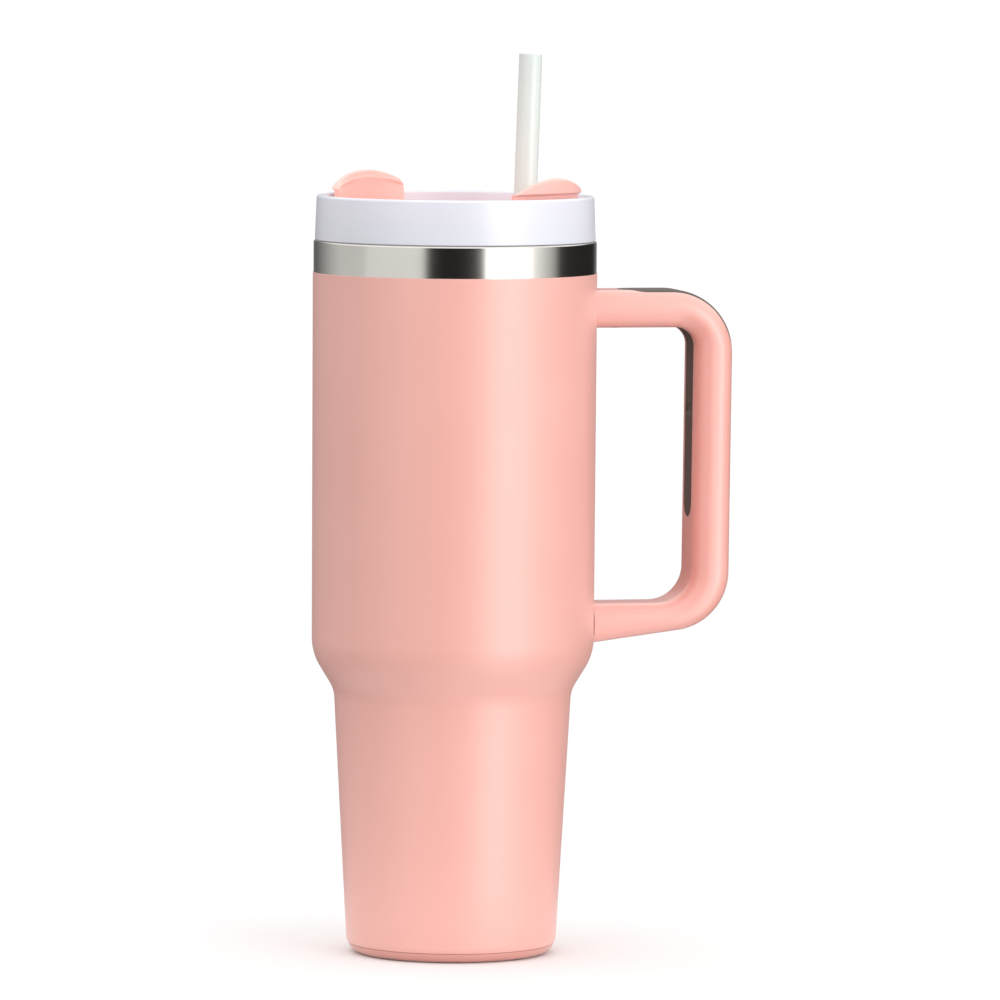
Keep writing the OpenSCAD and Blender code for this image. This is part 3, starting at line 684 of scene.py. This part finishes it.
@dataclass
class Handle:
    """The handle, its two soft grips and the plugs over its screws, in millimetres."""

    side: Side
    dress: Finisher
    width: float = 25
    reach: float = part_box("handle")[1].x / MM
    top_z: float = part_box("handle")[1].z / MM
    bar: float = 13.25
    lean: float = 0.6
    arm: float = 13
    low_top_z: float = 120.8
    low_arm: float = 13.4
    rise: float = 7.5
    top_out: float = 22
    top_in: float = 6.5
    low_out: float = 20.5
    low_in: float = 12
    edge_share: float = 0.441
    into_body: float = 1.6
    grip_depth: float = 1.6
    grip_gap: float = 0.14
    grip_crown: float = 0.1
    bends: int = 36
    straights: int = 10

    def __post_init__(self) -> None:
        """Works out the two edges of the handle seen from its side."""
        self.edge = self.edge_share * self.arm
        start = self.side.rim_r - self.into_body
        bar_in = self.reach - self.bar
        under = self.low_top_z - self.low_arm
        rise = math.radians(self.rise)
        out_x = self.reach - self.lean - self.low_out
        out_z = under + (out_x - self.side.rim_r) * math.tan(rise) + self.low_out / math.cos(rise)
        self.outer = (
            [(start, self.top_z)]
            + arc((self.reach - self.top_out, self.top_z - self.top_out), self.top_out, 90, 0,
                  self.bends)
            + arc((out_x, out_z), self.low_out, 0, -90 + self.rise, self.bends)
            + [(start, under - (self.side.rim_r - start) * math.tan(rise))])
        low_in_x = bar_in - self.lean - self.low_in
        self.inner = (
            [(start, self.top_z - self.arm)]
            + arc((bar_in - self.top_in, self.top_z - self.arm - self.top_in), self.top_in, 90, 0,
                  self.bends)
            + arc((low_in_x, self.low_top_z + self.low_in), self.low_in, 0, -90, self.bends)
            + [(start, self.low_top_z)])
        self.pairs = self.stations()

    def stations(self) -> list[tuple[Vector, Vector]]:
        """Pairs the inner edge with the outer one, with more pairs along the straights.

        Returns:
            Inner and outer points, as vectors of x and z.
        """
        pairs = [(Vector(p), Vector(q)) for p, q in zip(self.inner, self.outer)]
        result = []
        for (p0, q0), (p1, q1) in zip(pairs, pairs[1:]):
            count = self.straights if (q1 - q0).length > 8 else 1
            result += [(p0.lerp(p1, i / count), q0.lerp(q1, i / count)) for i in range(count)]
        return result + [pairs[-1]]

    def section_point(self, p: Vector, q: Vector, face: float, across: float,
                      lift: float) -> Vector:
        """Finds a point on the handle's skin.

        Args:
            p: The inner point of the section, x and z.
            q: The outer point of the section.
            face: 1 for the outer face and -1 for the inner face.
            across: Distance along the skin from the face's middle line.
            lift: Height above the skin.

        Returns:
            The point in space, in millimetres.
        """
        u = (q - p).normalized()
        flat = self.width / 2 - self.edge
        turned = max(0.0, abs(across) - flat) / self.edge
        y = min(abs(across), flat) + (self.edge + lift) * math.sin(turned)
        depth = (q - p).length / 2 - self.edge + (self.edge + lift) * math.cos(turned)
        middle = (p + q) / 2 + u * depth * face
        return Vector((middle.x, math.copysign(y, across), middle.y))

    def body_mesh(self) -> bmesh.types.BMesh:
        """Bridges rings of points, one at each station, into the handle's solid.

        Returns:
            The closed solid.
        """
        bm = bmesh.new()
        rings = []
        for p, q in self.pairs:
            half_t = (q - p).length / 2
            corners = [arc((sx * (half_t - self.edge), sy * (self.width / 2 - self.edge)), self.edge,
                           start, start + 90, 10)
                       for sx, sy, start in ((1, 1, 0), (-1, 1, 90), (-1, -1, 180), (1, -1, 270))]
            u, m = (q - p).normalized(), (p + q) / 2
            ring = [bm.verts.new(Vector((m.x + u.x * a, b, m.y + u.y * a)) * MM)
                    for corner in corners for a, b in corner]
            rings.append([bm.edges.new(pair) for pair in zip(ring, ring[1:] + ring[:1])])
        for before, after in zip(rings, rings[1:]):
            bmesh.ops.bridge_loops(bm, edges=before + after)
        bmesh.ops.holes_fill(bm, edges=rings[0] + rings[-1], sides=0)
        return closed(bm)

    def strip(self, face: Face, half: float, path: Sequence[tuple[Vector, Vector]],
              depth: float, crown: Crown, margin: float = 0) -> bmesh.types.BMesh:
        """Lays a strip with round ends on the handle's skin.

        Args:
            face: The face that it lies on.
            half: Half its width along the skin.
            path: The stations that it runs over.
            depth: Its thickness.
            crown: How far it stands above the skin.
            margin: How much wider and longer it is all round.

        Returns:
            The closed strip.
        """
        sign = float(face.value)
        edge_of = (lambda pair: pair[1]) if face is Face.OUTER else (lambda pair: pair[0])
        run = [0.0]
        for before, after in zip(path, path[1:]):
            run.append(run[-1] + (edge_of(after) - edge_of(before)).length)
        total, wide = run[-1], half + margin
        columns, rows = 150, 20
        bm = bmesh.new()
        bmesh.ops.create_grid(bm, x_segments=columns, y_segments=rows, size=0.5)
        central = min(bm.faces, key=lambda f: f.calc_center_median().length)
        for vert in bm.verts:
            turn = math.pi * (vert.co.x + 0.5)
            ease = 0.5 - 0.5 * math.cos(turn)
            share = 0.35 * ease + 0.65 * (vert.co.x + 0.5)
            along = share * (total + 2 * margin) - margin
            end_gap = max(0.0, min(along + margin, total + margin - along))
            narrow = math.sqrt(max(0.0, 1 - (1 - min(1.0, end_gap / wide)) ** 2))
            across = 2 * vert.co.y * wide * narrow
            s = min(max(along, 0.0), total)
            i = max(k for k in range(len(run) - 1) if run[k] <= s)
            t = (s - run[i]) / max(run[i + 1] - run[i], 1e-9)
            p = path[i][0].lerp(path[i + 1][0], t)
            q = path[i][1].lerp(path[i + 1][1], t)
            lift = crown.above(abs(2 * vert.co.y), edge_of((p, q)).y)
            point = self.section_point(p, q, sign, across, lift)
            over = along - s
            if over:
                way = (edge_of(path[-1]) - edge_of(path[-2]) if over > 0
                       else edge_of(path[1]) - edge_of(path[0])).normalized() * over
                point += Vector((way.x, 0, way.y))
            vert.co = point * MM
        bmesh.ops.recalc_face_normals(bm, faces=bm.faces)
        p, q = next((p, q) for (p, q), s in zip(path, run) if s >= total / 2)
        out = (q - p) * sign
        if central.normal.dot(Vector((out.x, 0, out.y))) < 0:
            bmesh.ops.reverse_faces(bm, faces=bm.faces)
        bmesh.ops.remove_doubles(bm, verts=bm.verts, dist=2e-6)
        bmesh.ops.solidify(bm, geom=bm.faces[:], thickness=depth * MM)
        return closed(bm)

    def span(self, face: Face, start: Callable[[Vector], bool]) -> list[tuple[Vector, Vector]]:
        """Returns the stations whose point on that face passes the test."""
        pick = 1 if face is Face.OUTER else 0
        return [pair for pair in self.pairs if start(pair[pick])]

    def build(self) -> None:
        """Builds the handle, lays in its grips and closes its screw holes."""
        outer_box, inner_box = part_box("grip_outer"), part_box("grip_inner")
        grip_z, grip_x = outer_box[0].z / MM, outer_box[0].x / MM
        inner_z, inner_x = inner_box[0].z / MM, inner_box[0].x / MM
        groove_z = self.top_z - 41.6
        dense = self.dense_pairs()
        outer_path = [pq for pq in dense if pq[1].y > grip_z and pq[1].x > grip_x]
        inner_path = [pq for pq in dense if pq[0].y > inner_z and pq[0].x > inner_x
                      and pq[0].y > self.low_top_z + 20]

        over = Crown(1.5, edge=0)
        wanted = ((Face.OUTER, self.skin_half(9.3), outer_path, Crown(self.grip_crown)),
                  (Face.INNER, self.skin_half(5.2), inner_path,
                   Crown(self.grip_crown, groove_z=groove_z)))
        cuts = [("DIFFERENCE", self.strip(face, half, path, self.grip_depth + over.height, over,
                                          self.grip_gap))
                for face, half, path, _crown in wanted]
        cuts += [("DIFFERENCE", self.plug_hole(i)) for i in (0, 1)]
        self.dress.piece(carved(self.body_mesh(), "handle_work", cuts), "pink_handle", "vessel",
                         "handle_plastic", HANDLE_PLASTIC, ["handle"], crease=30)
        names = (("outer_grip", "grip_outer"), ("inner_grip", "grip_inner"))
        for (name, node), (face, half, path, crown) in zip(names, wanted):
            self.dress.piece(self.strip(face, half, path, self.grip_depth - 0.2, crown), name,
                             "vessel", "grip_rubber", GRIP_RUBBER, [node], crease=50)
        plugs = self.plug(0)
        other = self.plug(1)
        joined = bpy.data.meshes.new("second_plug")
        other.to_mesh(joined)
        other.free()
        plugs.from_mesh(joined)
        self.dress.piece(plugs, "screw_hole_plugs", "vessel", "grip_rubber", GRIP_RUBBER,
                         ["screw_plugs"])

    def dense_pairs(self) -> list[tuple[Vector, Vector]]:
        """Returns the stations with eight more between each two, for exact grip ends."""
        return [(p0.lerp(p1, i / 8), q0.lerp(q1, i / 8))
                for (p0, q0), (p1, q1) in zip(self.pairs, self.pairs[1:]) for i in range(8)]

    def skin_half(self, half: float) -> float:
        """Returns the distance along the skin that spans half a width seen from outside."""
        flat = self.width / 2 - self.edge
        return half if half <= flat else flat + self.edge * math.asin((half - flat) / self.edge)

    def on_underside(self, i: int) -> Matrix:
        """Returns the place of a screw's hole in an arm's underside, square to it."""
        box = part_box("handle_screws")
        x = (box[0].x + box[1].x) / 2 / MM
        rise = math.radians(self.rise)
        z = (self.top_z - self.arm if i == 0
             else self.low_top_z - self.low_arm + (x - self.side.rim_r) * math.tan(rise))
        return (Matrix.Translation(Vector((x, 0, z)) * MM)
                @ Matrix.Rotation(-rise * i, 4, "Y"))

    def plug_hole(self, i: int) -> bmesh.types.BMesh:
        """Returns the cutter for a screw's hole."""
        bm = spun([(0, -2), (3.25, -2), (3.25, 1.4), (3.05, 1.4), (3.05, 4.2), (0, 4.2)], 64)
        bmesh.ops.transform(bm, matrix=self.on_underside(i), verts=bm.verts)
        return bm

    def plug(self, i: int) -> bmesh.types.BMesh:
        """Returns a plug with a rounded, slightly dished face."""
        outline = [(0, -0.15), (1.8, -0.18), (2.4, -0.25)] + arc((2.95, 0), 0.25, -90, 0, 5)
        bm = spun(outline + [(3.2, 1.3), (0, 1.3)], 64)
        bmesh.ops.transform(bm, matrix=self.on_underside(i), verts=bm.verts)
        return bm


# Lid --------------------------------------------------------------------------------------


@dataclass
class Lid:
    """The milky lid with its seal ring, in millimetres."""

    side: Side
    dress: Finisher
    top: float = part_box("lid")[1].z / MM
    plug_z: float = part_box("lid")[0].z / MM
    height: float = 15.3
    inset: float = 0.65
    draft: float = 2
    wall: float = 2.8
    well: float = 8.8
    floor: float = 2.2
    plug_gap: float = 0.8
    plug_wall: float = 2.2
    seat: float = 1
    gasket: float = 4
    edge: float = 0.9
    foot: float = 0.3
    opening_in: float = 15.04
    drink_half: float = 4.5
    drink_start: float = -36
    drink_end: float = -26
    straw_way: float = 25
    straw_hole: float = 6.8
    hole_lip: float = 1.2
    pivot_hole: float = 3.08

    def __post_init__(self) -> None:
        """Works out the lid's radii from the body's."""
        self.low_r = self.side.rim_r - self.inset
        self.top_r = self.low_r - self.height * math.tan(math.radians(self.draft))
        self.well_r = self.top_r - self.wall
        self.floor_z = self.top - self.well
        self.opening_r = self.well_r - self.opening_in
        self.plug_out = self.side.radius(-4.65, self.plug_z) - self.plug_gap
        self.gasket_z = self.plug_z + 3

    def on_straw_way(self, shape: bmesh.types.BMesh) -> bmesh.types.BMesh:
        """Moves a shape from the axis to the straw's hole."""
        way = math.radians(self.straw_way)
        bmesh.ops.translate(shape, verts=shape.verts,
                            vec=Vector((math.cos(way), math.sin(way), 0)) * self.opening_r * MM)
        return shape

    def build(self) -> None:
        """Builds the lid with its openings, and its seal ring."""
        low = self.top - self.height
        out, under = self.plug_out, self.floor_z - self.floor
        inner = out - self.plug_wall
        outline = ([(0, under), (inner - 1, under)]
                   + arc((inner - 1, under - 1), 1, 90, 0, 5)[1:]
                   + [(inner, self.plug_z + 0.3), (inner + 0.3, self.plug_z), (out - 0.6, self.plug_z),
                      (out, self.plug_z + 0.6), (out, self.gasket_z), (out - self.seat, self.gasket_z),
                      (out - self.seat, self.gasket_z + self.gasket), (out, self.gasket_z + self.gasket),
                      (out, low)]
                   + arc((self.low_r - self.foot, low + self.foot), self.foot, -90, -2, 6)
                   + arc((self.top_r - self.edge, self.top - self.edge), self.edge, -2, 90, 10)
                   + arc((self.well_r + self.edge, self.top - self.edge), self.edge, 90, 180, 10)
                   + arc((self.well_r - 0.8, self.floor_z + 0.8), 0.8, 0, -90, 6)
                   + [(0, self.floor_z)])
        deep, over = self.floor_z - 12, self.floor_z + 2
        recess = self.floor_z - 0.9
        cuts = [slot_block(self.opening_r, self.drink_half, self.drink_start, self.drink_end, deep, over),
                self.on_straw_way(spun([(0, deep), (self.straw_hole, deep), (self.straw_hole, recess),
                                        (self.straw_hole + self.hole_lip, recess),
                                        (self.straw_hole + self.hole_lip, over), (0, over)], 96)),
                spun([(0, deep), (self.pivot_hole, deep), (self.pivot_hole, over), (0, over)], 64),
                spun([(4.25, recess - 0.3), (5.55, recess - 0.3), (5.55, over), (4.25, over)], 64)]
        lid = carved(spun(outline), "lid_work", [("DIFFERENCE", cut) for cut in cuts])
        self.dress.piece(lid, "milky_lid", "lid", "lid_plastic", LID_PLASTIC, ["lid"], crease=32)
        self.build_gasket()
        self.dress.node("straw_grommet", SILICONE)
        self.dress.node("pivot_seal", SILICONE)

    def build_gasket(self) -> None:
        """Builds the ring with two soft fins round the plug."""
        root = self.plug_out - self.seat
        back = self.plug_out - 0.1
        tip = self.side.radius(-4.65, self.gasket_z) - 0.1
        pitch, third = self.gasket * 2 / 3, self.gasket / 9
        outline = [(root, self.gasket_z)]
        for z in (self.gasket_z, self.gasket_z + pitch):
            outline += ([(back, z)] + arc((tip - third, z + 1.5 * third), third, -60, 60, 8)
                        + [(back, z + 3 * third)])
        outline.append((root, self.gasket_z + self.gasket))
        self.dress.piece(spun(outline), "finned_seal", "lid", "seal_silicone", SILICONE,
                         ["lid_gasket"])


@dataclass(frozen=True)
class Wing:
    """One wing of the cover: its direction in degrees and its outline in millimetres."""

    way: float
    peak: float
    peak_at: float
    half: float = 18.9
    blunt_r: float = 31
    long_r: float = 49

    def crest(self, x: float) -> float:
        """Returns its height above the lid's wall, at a distance x along it."""
        r = self.long_r if x > self.peak_at else self.blunt_r
        return self.peak - r + math.sqrt(r * r - (x - self.peak_at) ** 2)


@dataclass
class Cover:
    """The turning cover with its two wings and its pivot, in millimetres."""

    lid: Lid
    dress: Finisher
    thick: float = 2.4
    lift: float = 0.3
    gap: float = 0.6
    slot_half: float = 5.6
    slot_start: float = 24
    slot_end: float = 88
    rib: float = 0.8
    rib_high: float = 0.7
    near_wing: Wing = Wing(-48.9, peak=7.0, peak_at=-1)
    far_wing: Wing = Wing(129.4, peak=7.6, peak_at=-4.3)
    wing_inset: float = 0.94
    lip_lift: float = 1.5
    overhang: float = 1.1
    neck: float = 2.2
    lip: float = 2.1
    soft: float = 0.9
    scoop: float = 3.4
    end_turn: float = math.radians(2.6)
    end_drop: float = 0.45
    head_r: float = 6.5
    head_high: float = 1.5

    def wing(self, wing: Wing) -> bmesh.types.BMesh:
        """Builds a wing: a neck inside the lid's wall, a lip above and a scooped back.

        Args:
            wing: Its place and outline.

        Returns:
            The closed wing.
        """
        reach = self.lid.well_r - self.wing_inset
        out = reach - self.overhang
        back = out - self.neck
        disc = self.lid.floor_z + self.lift + self.thick
        lip_z = self.lid.top + self.lip_lift
        top = self.lid.top + wing.peak
        half_lip = self.lip / 2
        section = ([(back - self.scoop, disc - 1), (out, disc - 1)]
                   + arc((out + self.soft, lip_z - self.soft), self.soft, 180, 90, 8)
                   + arc((reach - self.soft, lip_z + self.soft), self.soft, -90, 0, 8)
                   + [(reach, lip_z + 2.4), (reach, lip_z + 3.6)]
                   + arc((reach - half_lip, top - half_lip), half_lip, 0, 180, 12)
                   + [(reach - self.lip - 0.7, lip_z + 3.6), (back + 0.9, lip_z + 1.8)]
                   + [(back + 0.1, lip_z - 0.6)]
                   + arc((back - self.scoop, disc + self.scoop), self.scoop, 0, -90, 10))
        bm = bmesh.new()
        verts = [bm.verts.new((r * MM, 0, z * MM)) for r, z in section]
        loop = [bm.edges.new(pair) for pair in zip(verts, verts[1:] + verts[:1])]
        span = math.asin(wing.half / reach)
        bmesh.ops.rotate(bm, cent=(0, 0, 0), verts=bm.verts,
                         matrix=Matrix.Rotation(-span, 3, "Z"))
        made = bmesh.ops.spin(bm, geom=verts + loop, cent=(0, 0, 0), axis=(0, 0, 1), angle=2 * span,
                              steps=64, use_merge=False)
        last = [g for g in made["geom_last"] if isinstance(g, bmesh.types.BMEdge)]
        bmesh.ops.holes_fill(bm, edges=loop + last, sides=0)
        for vert in bm.verts:
            z = vert.co.z / MM
            if z > lip_z:
                turn = math.atan2(vert.co.y, vert.co.x)
                crest = wing.crest(reach * math.sin(turn)) - self.lip_lift
                end = min(1.0, (span - abs(turn)) / self.end_turn)
                crest *= 1 - self.end_drop * (1 - math.sqrt(max(0.0, 1 - (1 - end) ** 2)))
                vert.co.z = (lip_z + (z - lip_z) * crest / (wing.peak - self.lip_lift)) * MM
        bmesh.ops.rotate(bm, cent=(0, 0, 0), verts=bm.verts,
                         matrix=Matrix.Rotation(math.radians(wing.way), 3, "Z"))
        return closed(bm)

    def build(self) -> None:
        """Builds the cover, its pivot's head and shaft, and dresses its pad."""
        low = self.lid.floor_z + self.lift
        high = low + self.thick
        edge_r = self.lid.well_r - self.gap
        disc = spun([(0, low), (edge_r - 0.4, low)] + arc((edge_r - 0.4, low + 0.4), 0.4, -90, 0, 5)
                    + arc((edge_r - 0.6, high - 0.6), 0.6, 0, 90, 6)
                    + [(3.05, high), (3.05, low + 0.2), (0, low + 0.2)][:1] + [(0, high)])
        r = self.lid.opening_r
        pad = slot_block(r, 6.55, self.lid.drink_start, self.lid.drink_end, low - 1,
                         low + self.thick / 2)
        work = [("UNION", slot_block(r, self.slot_half + self.rib, self.slot_start, self.slot_end,
                                     high - 1, high + self.rib_high)),
                ("UNION", self.wing(self.near_wing)), ("UNION", self.wing(self.far_wing)),
                ("DIFFERENCE", slot_block(r, self.slot_half, self.slot_start, self.slot_end, low - 2,
                                          high + 4)),
                ("DIFFERENCE", spun([(0, low - 2), (3.05, low - 2), (3.05, high + 2),
                                     (0, high + 2)], 64)),
                ("DIFFERENCE", pad)]
        self.dress.piece(carved(disc, "cover_work", work), "pink_turning_cover", "cover",
                         "cover_plastic", COVER_PLASTIC, ["rotary_cover"], crease=34)
        dome_r = (self.head_r ** 2 + self.head_high ** 2) / (2 * self.head_high)
        rise = math.degrees(math.asin(self.head_r / dome_r))
        barb = self.lid.floor_z - self.lid.floor - 0.3
        pivot = ([(0, barb - 2.4), (2.1, barb - 2.4), (2.4, barb - 2.1), (3.9, barb), (3, barb),
                  (3, high), (self.head_r - 0.2, high), (self.head_r - 0.02, high + 0.1)]
                 + arc((0, high + self.head_high - dome_r), dome_r, 90 - rise * 0.97, 90, 12))
        self.dress.piece(spun(pivot, 96), "pink_pivot", "cover", "cover_plastic", COVER_PLASTIC,
                         ["cover_pivot"])
        self.dress.node("cover_pad", SILICONE)


@dataclass
class Straw:
    """The straight straw, in millimetres."""

    dress: Finisher
    outer: float = 4
    wall: float = 0.8

    def build(self) -> None:
        """Builds the straw along the axis of its mount, with both lips rounded."""
        mount = next(m for m in frame["record"]["mounts"] if m["name"] == "straw_bore")
        half = mount["dims"]["length_mm"] / 2
        lip = self.wall / 2
        middle = self.outer - lip
        outline = (arc((middle, half - lip), lip, 0, 180, 8)
                   + [(middle - lip, 0.0)]
                   + arc((middle, lip - half), lip, 180, 360, 8) + [(self.outer, 0.0)])
        bm = spun(outline, 96)
        axis = Vector(mount["axis"]).normalized()
        turn = Vector((0, 0, 1)).rotation_difference(axis).to_matrix().to_4x4()
        bmesh.ops.transform(bm, matrix=Matrix.Translation(Vector(mount["pos_m"])) @ turn,
                            verts=bm.verts)
        self.dress.piece(bm, "milky_straw", "straw", "straw_plastic", STRAW_PLASTIC, ["straw"])


# Studio -----------------------------------------------------------------------------------


@dataclass
class Studio:
    """The floor, the light round the object and the camera."""

    azimuth: float = -12.0
    distance: float = 2.85
    height: float = 0.370
    pitch: float = 4.28
    yaw: float = 0.322
    roll: float = 0.387
    lens: float = 298.0

    def build_camera(self) -> None:
        """Sets the camera at the object's front left, a little above it and far away."""
        way = math.radians(self.azimuth)
        place = Vector((math.sin(way), -math.cos(way), 0)) * self.distance
        place.z = self.height
        turn = (Matrix.Rotation(way - math.radians(self.yaw), 4, "Z")
                @ Matrix.Rotation(math.radians(90 - self.pitch), 4, "X")
                @ Matrix.Rotation(math.radians(self.roll), 4, "Z"))
        data = bpy.data.cameras.new("camera")
        data.lens = self.lens
        data.sensor_width = 36
        data.clip_end = 100
        camera = bpy.data.objects.new("camera", data)
        bpy.context.scene.collection.objects.link(camera)
        camera.matrix_world = Matrix.Translation(place) @ turn
        bpy.context.scene.camera = camera

    def build_floor(self) -> None:
        """Lays a pale round floor that fades out at its edge."""
        bm = bmesh.new()
        bmesh.ops.create_circle(bm, cap_ends=True, segments=128, radius=0.3)
        bmesh.ops.translate(bm, verts=bm.verts, vec=(0, 0, -0.0002))
        floor = to_object(bm, "floor")
        material = bpy.data.materials.new("pale_floor")
        material.use_nodes = True
        tree = material.node_tree
        tree.nodes.clear()
        where = add_node(tree, "ShaderNodeTexCoord", {}).outputs["Object"]
        away = add_node(tree, "ShaderNodeVectorMath", {"operation": "LENGTH"}, {0: where})
        fade = add_node(tree, "ShaderNodeMapRange",
                        {"interpolation_type": "SMOOTHSTEP", "From Min": 0.06, "From Max": 0.24},
                        {"Value": away.outputs["Value"]})
        paint = add_node(tree, "ShaderNodeBsdfPrincipled",
                         {"Base Color": linear("#ececec"), "Roughness": 0.9,
                          "Specular IOR Level": 0.1,
                          "Emission Color": linear("#ffffff"), "Emission Strength": 0.04})
        nothing = add_node(tree, "ShaderNodeBsdfTransparent", {})
        mixed = add_node(tree, "ShaderNodeMixShader", {},
                         {0: fade.outputs["Result"], 1: paint.outputs["BSDF"],
                          2: nothing.outputs["BSDF"]})
        add_node(tree, "ShaderNodeOutputMaterial", {}, {"Surface": mixed.outputs["Shader"]})
        floor.data.materials.append(material)

    def build_light(self) -> None:
        """Surrounds the object with soft panels, drawn on the world by their direction."""
        world = bpy.data.worlds.new("studio")
        bpy.context.scene.world = world
        world.use_nodes = True
        tree = world.node_tree
        tree.nodes.clear()
        where = add_node(tree, "ShaderNodeTexCoord", {}).outputs["Generated"]
        parts = add_node(tree, "ShaderNodeSeparateXYZ", {}, {"Vector": where})
        turn = add_node(tree, "ShaderNodeMath", {"operation": "ARCTAN2"},
                        {0: parts.outputs["Y"], 1: parts.outputs["X"]})
        share = add_node(tree, "ShaderNodeMapRange",
                         {"From Min": -math.pi, "From Max": math.pi}, {"Value": turn.outputs[0]})
        ring = add_node(tree, "ShaderNodeValToRGB", {}, {"Fac": share.outputs["Result"]})
        self.paint_ring(ring.color_ramp)
        rise = add_node(tree, "ShaderNodeMapRange",
                        {"interpolation_type": "SMOOTHSTEP", "From Min": 0.26, "From Max": 0.5},
                        {"Value": parts.outputs["Z"]})
        sky = add_node(tree, "ShaderNodeMix", {"data_type": "RGBA", 7: (1.38, 1.38, 1.38, 1)},
                       {0: rise.outputs["Result"], 6: ring.outputs["Color"]})
        fall = add_node(tree, "ShaderNodeMapRange",
                        {"interpolation_type": "SMOOTHSTEP", "From Min": -0.35, "From Max": 0.0,
                         "To Min": 0.5, "To Max": 1.0}, {"Value": parts.outputs["Z"]})
        panels = add_node(tree, "ShaderNodeBackground", {},
                          {"Color": sky.outputs[2], "Strength": fall.outputs["Result"]})
        paper = add_node(tree, "ShaderNodeBackground",
                         {"Color": linear("#ffffff"), "Strength": 1.02})
        seen = add_node(tree, "ShaderNodeLightPath", {}).outputs["Is Camera Ray"]
        mixed = add_node(tree, "ShaderNodeMixShader", {},
                         {0: seen, 1: panels.outputs["Background"], 2: paper.outputs["Background"]})
        add_node(tree, "ShaderNodeOutputWorld", {}, {"Surface": mixed.outputs["Shader"]})

    def paint_ring(self, ramp: bpy.types.ColorRamp) -> None:
        """Paints the panels round the horizon.

        Args:
            ramp: The colour ramp, whose ends meet behind the object's left.
        """
        front = self.azimuth - 90  # direction of the camera from the object
        panels = ((-63, 0.95), (-26, 1.06), (-22, 0.0), (24, 0.0), (29, 4.4), (56, 4.4),
                  (65, 1.25), (88, 0.5), (94, 0.02), (152, 0.02), (160, 0.12), (166, 0.3), (205, 0.12),
                  (222, 0.3), (253, 0.76))
        stops = sorted((((front + angle + 180) % 360) / 360, level) for angle, level in panels)
        while len(ramp.elements) > 1:
            ramp.elements.remove(ramp.elements[-1])
        ramp.elements[0].position = stops[0][0]
        for element, (place, level) in zip(
                [ramp.elements[0]] + [ramp.elements.new(s[0]) for s in stops[1:]], stops):
            element.position = place
            element.color = (level, level, level, 1)

    def build(self) -> None:
        """Sets the whole studio."""
        bpy.context.scene.view_settings.view_transform = "Standard"
        self.build_camera()
        self.build_floor()
        self.build_light()


def corners(box: Any) -> list[list[float]]:
    """Returns a box's two corners as plain lists of numbers."""
    return [[float(c) for c in corner] for corner in box]


def main() -> None:
    """Builds the tumbler sub-assembly by sub-assembly and reports each piece."""
    logging.basicConfig(level=logging.INFO, format="%(message)s")
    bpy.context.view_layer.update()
    dress = Finisher()
    side = Side()
    Studio().build()
    Vessel(side, dress).build()
    Handle(side, dress).build()
    lid = Lid(side, dress)
    lid.build()
    Cover(lid, dress).build()
    Straw(dress).build()


if __name__ == "__main__":
    main()
